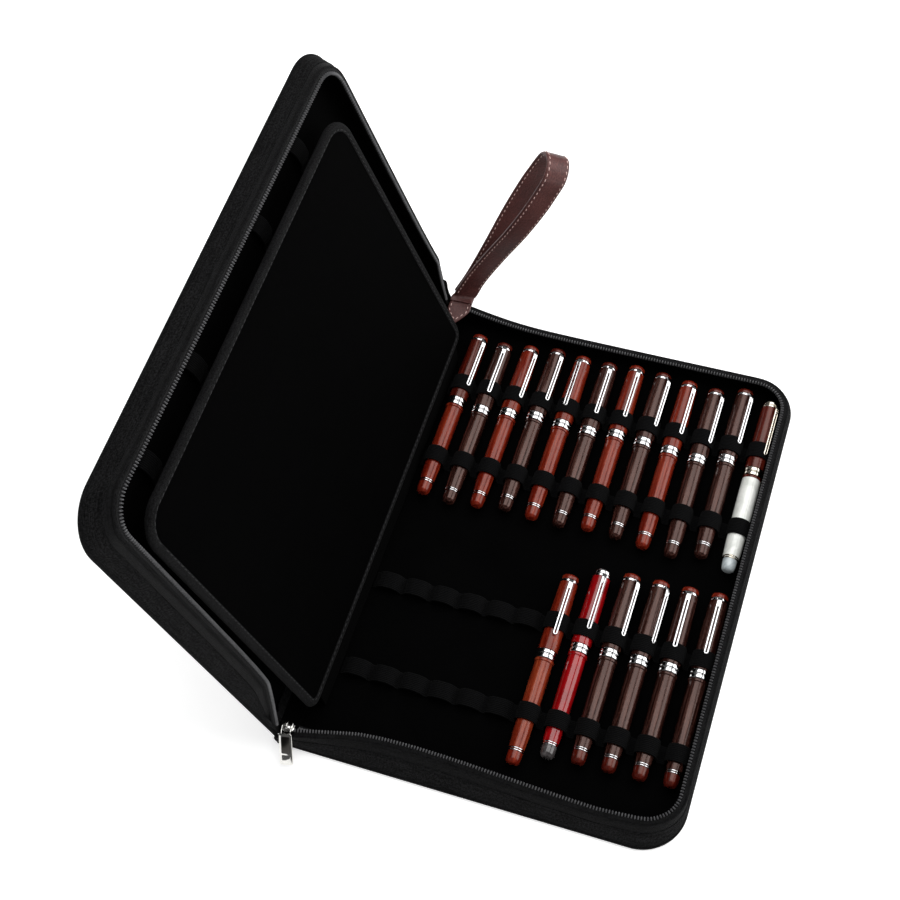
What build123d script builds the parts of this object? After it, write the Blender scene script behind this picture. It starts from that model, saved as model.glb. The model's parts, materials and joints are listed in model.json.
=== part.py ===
from build123d import *
import os
from math import acos, asin, atan2, cos, degrees, hypot, radians, sin

# Zip-around fountain pen case, standing open: the base half lies flat, the cover half stands up
# from the spine, a padded divider leaf leans beside it, and pens sit in elastic loops in the base.
# Origin: centre of the base half's underside. +X runs from the spine to the fore edge,
# +Y runs along the pens towards their caps, +Z is up. Millimetres.

# ---- driving dimensions -------------------------------------------------------------------------
CASE_WIDTH = 270.0
CASE_LENGTH = 360.0
CLOSED_THICKNESS = 48.0
FORE_CORNER = 30.0
SPINE_CORNER = 6.0
OPEN_ANGLE = 103.5
COVER_FOOT_HEIGHT = 16.5
DIVIDER_ANGLE = 104.5

# layers of one half, counted inwards from its outer face
PIPING_RADIUS = 1.6
CANVAS_BOTTOM = 0.0
CANVAS_TOP = 1.6
BOARD_TOP = 3.4
LINING_TOP = 4.0
SPINE_FOLD = 14.0

# soft side wall with its zipper
WALL_FOOT = 3.2
WALL_TOP = 19.0
WALL_THICKNESS = 1.2
WALL_FOOT_INSET = 1.0
SIDE_LEAN = 12.5
FORE_LEAN = 3.0
SPINE_END_LEAN = 1.0
FLARE_X = -75.0
TAPE_THICKNESS = 0.8
TAPE_WIDTH = 4.5
TEETH_WIDTH = 2.2
TEETH_HEIGHT = 1.6
ROW_START_X = -121.0
RAMP_START = (-127.0, 4.0)
RAMP_END_X = -73.0

# pen loops: two rows of twelve slots in each half, two elastic strips to a row
PEN_PITCH = 20.0
FIRST_SLOT_X = -100.0
SLOTS = 12
STRIP_WIDTH = 12.0
ELASTIC = 0.8
CAP_STRIP_RADIUS = 7.4
BARREL_STRIP_RADIUS = 6.8
EMPTY_LOOP_HEIGHT = 6.2
EMPTY_LOOP_HALF_WIDTH = 8.2
COVER_LOOP_HEIGHT = 3.6
STRIP_CENTRES = {"upper_cap": 112.0, "upper_barrel": 50.0, "lower_cap": -51.0, "lower_barrel": -117.0}
EMPTY_LOWER_SLOTS = 6

# pens
PEN_LENGTH = 138.0
PEN_AXIS_Z = 11.2
TAIL_RADIUS = 5.0
BARREL_RADIUS = 6.2
COLLAR_RADIUS = 6.6
BAND_RADIUS = 7.0
CAP_RADIUS = 6.8
CAP_TOP_RADIUS = 6.1
CLIP_INNER = 8.4
CLIP_OUTER = 9.3
CLIP_HALF_ANGLE = 12.0
UPPER_CAP_END = 157.5
LOWER_CAP_END = -2.0
# slot number, how far the pen is pushed along its loops, how far its clip is turned to +X
UPPER_PENS = [
    (0, -0.5, 38), (1, -3.0, 15), (2, -0.5, 40), (3, 2.0, 33), (4, 0.5, -17), (5, 0.0, 15),
    (6, 2.5, 18), (7, 1.5, 40), (8, -0.5, 28), (9, -2.0, 40), (10, 3.0, 38), (11, -2.0, 45),
]
LOWER_PENS = [(6, -12.5, 15), (7, -2.5, 18), (8, -0.5, 40), (9, 0.0, 43), (10, 0.5, 1), (11, 1.5, 4)]

# divider leaf and its sewn hinge strip
DIVIDER_HINGE_X = -112.0
DIVIDER_HINGE_Z = CLOSED_THICKNESS / 2
DIVIDER_WIDTH = 236.0
DIVIDER_NEAR_Y = -160.0
DIVIDER_FAR_Y = 147.0
DIVIDER_CORNER = 22.0
DIVIDER_BOARD = 1.4
DIVIDER_PAD = 1.3
BINDING_WIDTH = 6.0
BINDING_THICKNESS = 5.0

# spine: a curved canvas back on the base and a flap on the cover that turns inside it
SPINE_CLEARANCE = 0.7
FLAP_THICKNESS = 1.4
FLAP_TURN = 50.0
FLAP_HALF_LENGTH = 160.0
SPINE_HALF_LENGTH = 174.0

# zipper slider, pull and tail
SLIDER_X = -126.5
SLIDER_Z = 20.2
SLIDER_INSET = 4.9
SLIDER_LENGTH = 8.0
SLIDER_WIDTH = 7.0
SLIDER_RIM = 0.7
SLIDER_PLATE = 1.1
SLIDER_GAP = 3.2
CROWN_LENGTH = 5.6
CROWN_WIDTH = 1.4
CROWN_HOLE = 1.3
PULL_TILT = 52.0
PULL_LENGTH = 24.0
PULL_WIDTH = 8.6
PULL_THICKNESS = 1.5
BAIL_LENGTH = 5.4
BAIL_HALF_WIDTH = 3.0
BAIL_WIRE = 0.5
TAIL_START = (-121.0, -171.0, 14.6)
TAIL_LENGTH = 10.0
TAIL_WIDTH = 5.2

# wrist strap
STRAP_ROOT = (-121.0, 182.8, 23.6)
STRAP_WIDTH = 17.0
STRAP_THICKNESS = 2.4
STRAP_REACH = 158.0
STRAP_SEWN = 30.0
STRAP_LOOP_RADIUS = 15.0
STRAP_DIRECTION = (0.445, 0.199, 0.873)
STRAP_WIDTH_HINT = (0.812, 0.322, -0.487)
ANCHOR_LENGTH = 27.0
ANCHOR_POINT = 9.0

HALF_WIDTH = CASE_WIDTH / 2
HALF_LENGTH = CASE_LENGTH / 2


# ---- hinge of the cover -------------------------------------------------------------------------
def cover_axis():
    """Centre of the turn that carries the closed cover's spine edge to its open place."""
    turn = radians(OPEN_ANGLE)
    closed_edge = (-HALF_WIDTH, CLOSED_THICKNESS)
    open_edge = (-HALF_WIDTH, COVER_FOOT_HEIGHT)
    turned = (
        cos(turn) * closed_edge[0] - sin(turn) * closed_edge[1],
        sin(turn) * closed_edge[0] + cos(turn) * closed_edge[1],
    )
    gap = (open_edge[0] - turned[0], open_edge[1] - turned[1])
    keep = 1 - cos(turn)
    scale = keep ** 2 + sin(turn) ** 2
    return (
        (keep * gap[0] - sin(turn) * gap[1]) / scale,
        (sin(turn) * gap[0] + keep * gap[1]) / scale,
    )


AXIS_X, AXIS_Z = cover_axis()
COVER_DEPTH = CLOSED_THICKNESS - AXIS_Z
EDGE_REACH = hypot(AXIS_X + HALF_WIDTH, COVER_DEPTH)


def open_cover(shape):
    """Turn a half, modelled like the base, over onto the closed case and then open."""
    closed = Pos(0, 0, CLOSED_THICKNESS) * Rot(180, 0, 0) * shape
    return closed.rotate(Axis((AXIS_X, 0, AXIS_Z), (0, 1, 0)), -OPEN_ANGLE)


def open_divider(shape):
    """Turn the divider, modelled lying level, up to its open place."""
    return shape.rotate(Axis((DIVIDER_HINGE_X, 0, DIVIDER_HINGE_Z), (0, 1, 0)), -DIVIDER_ANGLE)


# ---- shared shapes ------------------------------------------------------------------------------
def tray_outline(z, side, fore, spine_end, radius):
    """Plan of one half at height z: straight sides that flare out to the spine, round fore corners."""
    spine_x = -HALF_WIDTH
    fore_x = HALF_WIDTH - fore
    half = HALF_LENGTH - side
    end = HALF_LENGTH - spine_end
    near = [
        Line((spine_x, -end), (FLARE_X, -half)),
        Line((FLARE_X, -half), (fore_x - radius, -half)),
        RadiusArc((fore_x - radius, -half), (fore_x, radius - half), -radius),
    ]
    far = [
        RadiusArc((fore_x, half - radius), (fore_x - radius, half), -radius),
        Line((fore_x - radius, half), (FLARE_X, half)),
        Line((FLARE_X, half), (spine_x, end)),
    ]
    fore_edge = Line((fore_x, radius - half), (fore_x, half - radius))
    spine_edge = Line((spine_x, end), (spine_x, -end))
    return Pos(0, 0, z) * make_face(near + [fore_edge] + far + [spine_edge])


def panel_face(inset, spine_inset=None):
    """Rounded rectangle of one half, drawn in from the edges."""
    spine_inset = inset if spine_inset is None else spine_inset
    width = CASE_WIDTH - inset - spine_inset
    length = CASE_LENGTH - 2 * inset
    plate = Pos((spine_inset - inset) / 2, 0) * Rectangle(width, length)
    ends = plate.vertices().group_by(Axis.X)
    plate = fillet(ends[-1], FORE_CORNER - inset)
    return fillet(plate.vertices().group_by(Axis.X)[0], SPINE_CORNER - min(inset, SPINE_CORNER - 1))


def slab(face, low, high):
    """Flat layer from a plan face, between two heights."""
    return Pos(0, 0, low) * extrude(face, high - low)


def box_between(low, high):
    """Box from its lowest to its highest corner."""
    size = [b - a for a, b in zip(low, high)]
    return Pos(*low) * Box(*size, align=(Align.MIN, Align.MIN, Align.MIN))


def bar(start, end, centre, width, height):
    """Straight bar whose rectangular section sits off the line between two points."""
    path = Line(start, end)
    level = Vector(0, 0, 1).cross(path % 0)
    plane = Plane(origin=start, x_dir=level, z_dir=path % 0)
    return sweep(plane * Pos(*centre) * Rectangle(width, height), path=path)


# ---- one half of the case -----------------------------------------------------------------------
def piping():
    """Round welt sewn along the three free edges."""
    reach = HALF_WIDTH - PIPING_RADIUS
    side = HALF_LENGTH - PIPING_RADIUS
    spine = -HALF_WIDTH + 2 * PIPING_RADIUS
    path = FilletPolyline(
        (spine, -side), (reach, -side), (reach, side), (spine, side),
        radius=FORE_CORNER - PIPING_RADIUS,
    )
    path = Pos(0, 0, PIPING_RADIUS) * path
    return sweep(Plane(origin=path @ 0, z_dir=path % 0) * Circle(PIPING_RADIUS), path=path)


def wall_block(skin):
    """Solid inside the side wall's outer face, or its inner face when skin is the wall thickness."""
    foot = WALL_FOOT_INSET + skin
    low = tray_outline(WALL_FOOT, foot, foot, foot, FORE_CORNER - foot)
    high = tray_outline(WALL_TOP, SIDE_LEAN + skin, FORE_LEAN + skin, SPINE_END_LEAN + skin, 24 - skin)
    return loft([low, high], ruled=True)


def side_wall():
    """Soft wall round three sides, open towards the spine."""
    wall = wall_block(0) - wall_block(WALL_THICKNESS)
    spine_side = box_between((-HALF_WIDTH - 1, -HALF_LENGTH, 0),
                             (ROW_START_X - 7, HALF_LENGTH, WALL_TOP + 1))
    return wall - spine_side


def row_ring(inner, outer, low, high):
    """Flat band that follows the top of the side wall, from the spine end round to the other."""
    def plan(inset):
        return tray_outline(0, SIDE_LEAN + inset, FORE_LEAN + inset, SPINE_END_LEAN + inset, 24 - inset)
    ring = slab(plan(outer) - plan(inner), low, high)
    return ring - box_between((-HALF_WIDTH - 1, -HALF_LENGTH, 0), (ROW_START_X, HALF_LENGTH, high + 1))


def zipper_tape():
    return row_ring(TAPE_WIDTH, 0, WALL_TOP, WALL_TOP + TAPE_THICKNESS)


def zipper_teeth():
    foot = WALL_TOP + TAPE_THICKNESS
    return row_ring(TAPE_WIDTH, TAPE_WIDTH - TEETH_WIDTH, foot, foot + TEETH_HEIGHT)


def ramp_cut():
    """Wedge taken off the cover's wall where its zipper row runs down to the slider."""
    start_x, start_z = RAMP_START
    top = WALL_TOP + 5
    points = [
        (-HALF_WIDTH - 9, start_z - 1.2), (start_x, start_z - 1.2),
        (RAMP_END_X, WALL_TOP), (RAMP_END_X, top), (-HALF_WIDTH - 9, top),
    ]
    profile = Plane.XZ * make_face(Polyline(*points, close=True))
    return extrude(profile, HALF_LENGTH + 10, both=True)


def ramp_rows(inset, lift, width, height):
    """Pair of straight runs that carry a zipper row down the ramp at the two spine ends."""
    start_x, start_z = RAMP_START
    low_y = HALF_LENGTH - SPINE_END_LEAN
    high_y = HALF_LENGTH - SIDE_LEAN
    rows = []
    for side in (-1, 1):
        start = (start_x, side * low_y, start_z)
        end = (RAMP_END_X - 0.6, side * high_y, WALL_TOP)
        rows.append(bar(start, end, (-side * inset, lift), width, height))
    return rows


# ---- elastic strips -----------------------------------------------------------------------------
def round_arch(centre, radius, floor):
    """Section of a loop stretched over a pen."""
    outer = Pos(centre, PEN_AXIS_Z) * Circle(radius + ELASTIC)
    outer += box_section(centre, radius + ELASTIC, floor, PEN_AXIS_Z)
    inner = Pos(centre, PEN_AXIS_Z) * Circle(radius)
    inner += box_section(centre, radius, floor - 3, PEN_AXIS_Z)
    above = box_section(centre, radius + 2, floor, PEN_AXIS_Z + radius + 2)
    return (outer - inner) & above


def flat_arch(centre, height, floor):
    """Section of an empty loop: a low elliptical arch."""
    half = EMPTY_LOOP_HALF_WIDTH
    outer = Pos(centre, floor) * Ellipse(half + ELASTIC, height + ELASTIC)
    inner = Pos(centre, floor) * Ellipse(half, height)
    above = box_section(centre, half + 2, floor, floor + height + 2)
    return (outer - inner) & above


def box_section(centre, half_width, low, high):
    """Rectangle in a strip's section, by its centre line and its two heights."""
    return Pos(centre, (low + high) / 2) * Rectangle(2 * half_width, high - low)


def strip(centre_y, arches):
    """One elastic strip from (half width, section) arches, joined by feet sewn flat to the lining."""
    tab = 2.4
    edges = [FIRST_SLOT_X - arches[0][0] - ELASTIC / 2 - tab]
    for slot, (half_width, _) in enumerate(arches):
        centre = FIRST_SLOT_X + slot * PEN_PITCH
        edges += [centre - half_width - ELASTIC / 2, centre + half_width + ELASTIC / 2]
    edges.append(edges[-1] + tab)
    section = box_section((edges[0] + edges[1]) / 2, (edges[1] - edges[0]) / 2,
                          LINING_TOP, LINING_TOP + ELASTIC)
    for slot, (_, arch) in enumerate(arches):
        left, right = edges[2 * slot + 2], edges[2 * slot + 3]
        section += arch
        section += box_section((left + right) / 2, (right - left) / 2, LINING_TOP, LINING_TOP + ELASTIC)
    solid = extrude(Plane.XZ * section, STRIP_WIDTH / 2, both=True)
    return Pos(0, centre_y, 0) * solid


def base_strip(name):
    """Strip in the base: round arches over pens, low arches over empty slots."""
    radius = CAP_STRIP_RADIUS if name.endswith("cap") else BARREL_STRIP_RADIUS
    empty = EMPTY_LOWER_SLOTS if name.startswith("lower") else 0
    arches = []
    for slot in range(SLOTS):
        centre = FIRST_SLOT_X + slot * PEN_PITCH
        if slot < empty:
            arches.append((EMPTY_LOOP_HALF_WIDTH, flat_arch(centre, EMPTY_LOOP_HEIGHT, LINING_TOP)))
        else:
            arches.append((radius, round_arch(centre, radius, LINING_TOP)))
    return strip(STRIP_CENTRES[name], arches)


def cover_strip(name):
    """Strip in the cover: every loop is empty and lies low."""
    arches = []
    for slot in range(SLOTS):
        arch = flat_arch(FIRST_SLOT_X + slot * PEN_PITCH, COVER_LOOP_HEIGHT, LINING_TOP)
        arches.append((EMPTY_LOOP_HALF_WIDTH, arch))
    return open_cover(strip(-STRIP_CENTRES[name], arches))


# ---- spine --------------------------------------------------------------------------------------
def arc_band(inner, outer, start, end, half_length):
    """Curved sheet about the cover's axis, between two angles measured from +X towards +Z."""
    middle = (start + end) / 2

    def point(radius, angle):
        return (AXIS_X + radius * cos(radians(angle)), AXIS_Z + radius * sin(radians(angle)))

    edges = [
        ThreePointArc(point(inner, start), point(inner, middle), point(inner, end)),
        Line(point(inner, end), point(outer, end)),
        ThreePointArc(point(outer, end), point(outer, middle), point(outer, start)),
        Line(point(outer, start), point(inner, start)),
    ]
    return extrude(Plane.XZ * make_face(edges), half_length, both=True)


def spine_canvas():
    """Canvas back of the spine, from the base panel's edge round behind the cover's foot."""
    inner = EDGE_REACH + SPINE_CLEARANCE
    outer = inner + FLAP_THICKNESS
    lean = 180 + OPEN_ANGLE - 90
    upper = lean - degrees(acos(COVER_DEPTH / inner)) + 2.5
    lower = 180 + degrees(asin((AXIS_Z - 15.0) / inner))
    back = arc_band(inner, outer, upper, lower, SPINE_HALF_LENGTH)
    foot_high = AXIS_Z + outer * sin(radians(lower))
    foot = box_between((-HALF_WIDTH - 1.6, -SPINE_HALF_LENGTH, CANVAS_BOTTOM),
                       (-HALF_WIDTH, SPINE_HALF_LENGTH, foot_high + 0.9))
    return back + foot


def cover_spine_flap():
    """Soft spine edge of the cover, curled inwards about the hinge axis."""
    outer = EDGE_REACH - 0.1
    start = degrees(atan2(CLOSED_THICKNESS - CANVAS_TOP - AXIS_Z, -HALF_WIDTH - AXIS_X)) + 4
    flap = arc_band(outer - FLAP_THICKNESS, outer, start, start + FLAP_TURN, FLAP_HALF_LENGTH)
    return flap.rotate(Axis((AXIS_X, 0, AXIS_Z), (0, 1, 0)), -OPEN_ANGLE)


# ---- divider ------------------------------------------------------------------------------------
def divider_plan(inset):
    """Plan of the divider lying level, drawn in from its edges."""
    low_x = DIVIDER_HINGE_X + 2.0 + inset
    high_x = DIVIDER_HINGE_X + 2.0 + DIVIDER_WIDTH - inset
    low_y = DIVIDER_NEAR_Y + inset
    high_y = DIVIDER_FAR_Y - inset
    plate = Pos((low_x + high_x) / 2, (low_y + high_y) / 2) * Rectangle(high_x - low_x, high_y - low_y)
    plate = fillet(plate.vertices().group_by(Axis.X)[-1], DIVIDER_CORNER - inset)
    return fillet(plate.vertices().group_by(Axis.X)[0], 10.0 - inset)


def divider_parts():
    """Core board, a padded face on each side, and the bound edge."""
    middle = DIVIDER_HINGE_Z
    board = slab(divider_plan(BINDING_WIDTH), middle - DIVIDER_BOARD / 2, middle + DIVIDER_BOARD / 2)
    low = middle - DIVIDER_BOARD / 2 - DIVIDER_PAD
    high = middle + DIVIDER_BOARD / 2 + DIVIDER_PAD
    binding = slab(divider_plan(0) - divider_plan(BINDING_WIDTH),
                   middle - BINDING_THICKNESS / 2, middle + BINDING_THICKNESS / 2)
    binding = fillet(binding.edges().filter_by(GeomType.LINE).group_by(Axis.X)[-1], 1.2)
    return {
        "divider_core_board": board,
        "divider_base_side_pad": slab(divider_plan(BINDING_WIDTH), low, middle - DIVIDER_BOARD / 2),
        "divider_cover_side_pad": slab(divider_plan(BINDING_WIDTH), middle + DIVIDER_BOARD / 2, high),
        "divider_bound_edge": binding,
    }


def divider_hinge_strip():
    """Cloth strip that ties the divider's foot to the tray floor."""
    return box_between((DIVIDER_HINGE_X - 0.6, DIVIDER_NEAR_Y + 12, LINING_TOP),
                       (DIVIDER_HINGE_X + 0.6, DIVIDER_FAR_Y - 12, DIVIDER_HINGE_Z - 4))


# ---- zipper slider, pull and tail ---------------------------------------------------------------
def slider_frame():
    """Frame of the slider: +X along its row, +Z out of its top plate."""
    slope = (SIDE_LEAN - SPINE_END_LEAN) / (FLARE_X + HALF_WIDTH)
    row_y = SPINE_END_LEAN + slope * (SLIDER_X + HALF_WIDTH) - HALF_LENGTH
    along = Vector(1, slope, 0).normalized()
    return Plane(origin=(SLIDER_X, row_y + SLIDER_INSET, SLIDER_Z), x_dir=along, z_dir=(0, 0, 1))


def slider_body():
    """Slider: two plates with turned rims, the bridge that parts the rows, and an arched crown."""
    half_l = SLIDER_LENGTH / 2
    half_w = SLIDER_WIDTH / 2
    half_gap = SLIDER_GAP / 2
    top = half_gap + SLIDER_PLATE
    body = box_between((-half_l, -half_w, -top), (half_l, half_w, top))
    body = fillet(body.edges().filter_by(Axis.Z), 1.6)
    body -= box_between((-half_l - 1, SLIDER_RIM - half_w, -half_gap),
                        (half_l + 1, half_w - SLIDER_RIM, half_gap))
    body -= box_between((-half_l - 1, -half_w - 1, -half_gap + 0.1), (half_l + 1, half_w + 1, 0))
    body += box_between((-half_l, 0.3, -half_gap), (-half_l + 2.8, 1.8, half_gap))
    crown = box_between((-CROWN_WIDTH / 2, -CROWN_LENGTH / 2, top),
                        (CROWN_WIDTH / 2, CROWN_LENGTH / 2, top + CROWN_HOLE + 0.8))
    hole = box_between((-CROWN_WIDTH, -CROWN_LENGTH / 2 + 1.1, top),
                       (CROWN_WIDTH, CROWN_LENGTH / 2 - 1.1, top + CROWN_HOLE))
    return slider_frame() * (body + (crown - hole))


def pull_pin():
    """Middle of the bail's pin, in the slider's frame."""
    return (0, 0, SLIDER_GAP / 2 + SLIDER_PLATE + CROWN_HOLE / 2)


def pull_bail():
    """Wire loop through the slider's crown, its two legs running out over the plate's edge."""
    path = FilletPolyline(
        (-BAIL_HALF_WIDTH, -BAIL_LENGTH), (-BAIL_HALF_WIDTH, 0),
        (BAIL_HALF_WIDTH, 0), (BAIL_HALF_WIDTH, -BAIL_LENGTH), radius=1.2)
    wire = sweep(Plane(origin=path @ 0, z_dir=path % 0) * Circle(BAIL_WIRE), path=path)
    return slider_frame() * Pos(*pull_pin()) * wire


def pull_tab():
    """Flat nickel tab with rounded corners, hanging from the bail down the side wall."""
    plate = Pos(0, -PULL_LENGTH / 2) * Rectangle(PULL_WIDTH, PULL_LENGTH)
    plate = fillet(plate.vertices(), 1.4)
    solid = extrude(plate, PULL_THICKNESS / 2, both=True)
    solid = chamfer(solid.edges().filter_by(Axis.Y), 0.3)
    hang = Pos(0, -BAIL_LENGTH - 0.5, -0.3) * Rot(PULL_TILT, 0, 0)
    return slider_frame() * Pos(*pull_pin()) * hang * solid


def zipper_tail():
    """Closed end of the zipper, folded into the case beside the slider."""
    x, y, z = TAIL_START
    half = TAIL_WIDTH / 2
    cloth = box_between((x, y - half, z), (x + TAIL_LENGTH, y + half, z + 0.8))
    chain = box_between((x, y - 1.3, z + 0.8), (x + TAIL_LENGTH - 1, y + 1.3, z + 2.2))
    return cloth + chain


# ---- wrist strap --------------------------------------------------------------------------------
def strap_frame():
    """Strap directions: along it, across its width, and out of its face."""
    along = Vector(*STRAP_DIRECTION).normalized()
    hint = Vector(*STRAP_WIDTH_HINT)
    across = (hint - along * hint.dot(along)).normalized()
    return along, across


def wrist_strap():
    """Leather band folded into a teardrop loop, its ends sewn together at the root."""
    along, across = strap_frame()
    tip_x = STRAP_REACH - STRAP_LOOP_RADIUS
    clear = 1.0

    def teardrop(radius, start, half_root):
        slope = asin((radius - half_root) / (tip_x - start))
        top = (tip_x - radius * sin(slope), radius * cos(slope))
        outline = [
            Line((start, -half_root), (start, half_root)),
            Line((start, half_root), top),
            ThreePointArc(top, (tip_x + radius, 0), (top[0], -top[1])),
            Line((top[0], -top[1]), (start, -half_root)),
        ]
        return make_face(outline)

    band = teardrop(STRAP_LOOP_RADIUS, clear, STRAP_THICKNESS)
    band -= teardrop(STRAP_LOOP_RADIUS - STRAP_THICKNESS, STRAP_SEWN, 0.25)
    plane = Plane(origin=STRAP_ROOT, x_dir=along, z_dir=across)
    return plane * extrude(band, STRAP_WIDTH / 2, both=True)


def strap_anchor():
    """Pointed leather end sewn down over the far end of the spine."""
    x, y, z = STRAP_ROOT
    half = STRAP_WIDTH / 2
    points = [
        (x - half, y - 4.6), (x + half, y - 4.6), (x + half, y - ANCHOR_LENGTH + ANCHOR_POINT),
        (x + 2, y - ANCHOR_LENGTH), (x - 2, y - ANCHOR_LENGTH), (x - half, y - ANCHOR_LENGTH + ANCHOR_POINT),
    ]
    return slab(make_face(Polyline(*points, close=True)), z - 1.8, z)


# ---- pens ---------------------------------------------------------------------------------------
def turned(points):
    """Solid of revolution about +Y from (radius, distance) points."""
    return revolve(make_face(Polyline(*points, close=True)), Axis.Y)


def disc(radius, start, end):
    return turned([(0, start), (radius, start), (radius, end), (0, end)])


def pen_solids(clip_turn):
    """Separate turned pieces of one capped pen, tail at the origin, cap towards +Y."""
    tail_end, ring_end, collar_start, band_start = 8.5, 10.5, 72.0, 74.0
    band_end, cap_end, top_ring_end = 80.5, 131.5, 133.5
    tail = turned([(0, 0), (3.6, 0), (4.7, 1.2), (TAIL_RADIUS, tail_end), (0, tail_end)])
    ring = disc(TAIL_RADIUS + 0.4, tail_end, ring_end)
    barrel = turned([(0, ring_end), (TAIL_RADIUS + 0.3, ring_end), (BARREL_RADIUS, 45),
                     (BARREL_RADIUS, collar_start), (0, collar_start)])
    collar = disc(COLLAR_RADIUS, collar_start, band_start)
    middle = (band_start + band_end) / 2
    band = turned([(0, band_start), (BAND_RADIUS, band_start), (BAND_RADIUS, middle - 0.3),
                   (COLLAR_RADIUS, middle), (BAND_RADIUS, middle + 0.3), (BAND_RADIUS, band_end),
                   (0, band_end)])
    cap = turned([(0, band_end), (CAP_RADIUS, band_end), (CAP_RADIUS, band_end + 14),
                  (CAP_TOP_RADIUS, cap_end), (0, cap_end)])
    top_ring = disc(CAP_TOP_RADIUS + 0.2, cap_end, top_ring_end)
    finial = turned([(0, top_ring_end), (CAP_TOP_RADIUS - 0.2, top_ring_end),
                     (CAP_TOP_RADIUS - 0.4, PEN_LENGTH - 1.6), (4.2, PEN_LENGTH), (0, PEN_LENGTH)])
    clip = Rot(0, clip_turn, 0) * clip_solid(90.5, cap_end, top_ring_end)
    return [tail, ring, barrel, collar, band, cap, top_ring, finial, clip]


def clip_solid(start, spring, root):
    """Clip: a narrow curved bar above the cap, with a root block that meets the top ring."""
    blade = ring_sector(CLIP_INNER, CLIP_OUTER, CLIP_HALF_ANGLE, start, root)
    foot = ring_sector(CAP_TOP_RADIUS + 0.2, CLIP_INNER, CLIP_HALF_ANGLE, spring, root)
    return blade + foot


def ring_sector(inner, outer, half_angle, start, end):
    """Piece of a tube about +Y, centred on +Z."""
    def point(radius, angle):
        return (radius * sin(radians(angle)), radius * cos(radians(angle)))

    edges = [
        ThreePointArc(point(inner, -half_angle), point(inner, 0), point(inner, half_angle)),
        Line(point(inner, half_angle), point(outer, half_angle)),
        ThreePointArc(point(outer, half_angle), point(outer, 0), point(outer, -half_angle)),
        Line(point(outer, -half_angle), point(inner, -half_angle)),
    ]
    section = Plane(origin=(0, start, 0), x_dir=(1, 0, 0), z_dir=(0, -1, 0)) * make_face(edges)
    return extrude(section, -(end - start))


def pen(slot, cap_end, clip_turn):
    """One pen in its slot, as a group of separate solids."""
    x = FIRST_SLOT_X + slot * PEN_PITCH
    place = Pos(x, cap_end - PEN_LENGTH, PEN_AXIS_Z)
    return Compound(children=[place * solid for solid in pen_solids(clip_turn)])


# ---- assembly -----------------------------------------------------------------------------------
def base_nodes():
    """Every piece that stays with the base half."""
    nodes = {
        "base_canvas_panel": slab(panel_face(2 * PIPING_RADIUS, 0), CANVAS_BOTTOM, CANVAS_TOP),
        "base_stiffener_board": slab(panel_face(6, SPINE_FOLD), CANVAS_TOP, BOARD_TOP),
        "base_velvet_lining": slab(panel_face(5, SPINE_FOLD - 4), BOARD_TOP, LINING_TOP),
        "base_edge_piping": piping(),
        "base_side_gusset": side_wall(),
        "base_zipper_tape": zipper_tape(),
        "base_zipper_teeth": zipper_teeth(),
        "spine_canvas": spine_canvas(),
        "divider_hinge_strip": divider_hinge_strip(),
        "zipper_tail": zipper_tail(),
        "strap_anchor": strap_anchor(),
    }
    for name in STRIP_CENTRES:
        nodes[f"base_{name}_strip"] = base_strip(name)
    return nodes


def cover_nodes():
    """Every piece that turns with the cover half."""
    cut = ramp_cut()
    tape_parts = ramp_rows(TAPE_WIDTH / 2, 0.4, TAPE_WIDTH, TAPE_THICKNESS)
    teeth_parts = ramp_rows(TAPE_WIDTH - TEETH_WIDTH / 2, 1.6, TEETH_WIDTH, TEETH_HEIGHT)
    nodes = {
        "cover_canvas_panel": slab(panel_face(2 * PIPING_RADIUS, 0), CANVAS_BOTTOM, CANVAS_TOP),
        "cover_stiffener_board": slab(panel_face(6, SPINE_FOLD), CANVAS_TOP, BOARD_TOP),
        "cover_velvet_lining": slab(panel_face(5, SPINE_FOLD), BOARD_TOP, LINING_TOP),
        "cover_edge_piping": piping(),
        "cover_side_gusset": side_wall() - cut,
        "cover_zipper_tape": Compound(children=[zipper_tape() - cut] + tape_parts),
        "cover_zipper_teeth": Compound(children=[zipper_teeth() - cut] + teeth_parts),
    }
    placed = {name: open_cover(shape) for name, shape in nodes.items()}
    placed["cover_spine_flap"] = cover_spine_flap()
    for name in STRIP_CENTRES:
        placed[f"cover_{name}_strip"] = cover_strip(name)
    return placed


def pen_nodes():
    """The eighteen pens, counted along the upper row and then the lower row."""
    places = [(slot, UPPER_CAP_END + shift, turn) for slot, shift, turn in UPPER_PENS]
    places += [(slot, LOWER_CAP_END + shift, turn) for slot, shift, turn in LOWER_PENS]
    return {f"pen_{number:02d}": pen(*place) for number, place in enumerate(places, start=1)}


def all_nodes():
    nodes = base_nodes()
    nodes.update(cover_nodes())
    nodes.update({name: open_divider(shape) for name, shape in divider_parts().items()})
    nodes["zipper_slider"] = slider_body()
    nodes["pull_bail"] = pull_bail()
    nodes["pull_tab"] = pull_tab()
    nodes["wrist_strap"] = wrist_strap()
    nodes.update(pen_nodes())
    return nodes


os.makedirs("parts", exist_ok=True)
for node, shape in all_nodes().items():
    export_step(shape, f"parts/{node}.step")
print(f"cover hinge at x {AXIS_X:.3f} z {AXIS_Z:.3f}")
print("slider frame", slider_frame(), "pin", slider_frame() * Pos(*pull_pin()))
print("strap directions", strap_frame())
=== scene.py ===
import json
import math

import bmesh
import bpy
import numpy as np
from mathutils import Matrix, Vector


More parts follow.
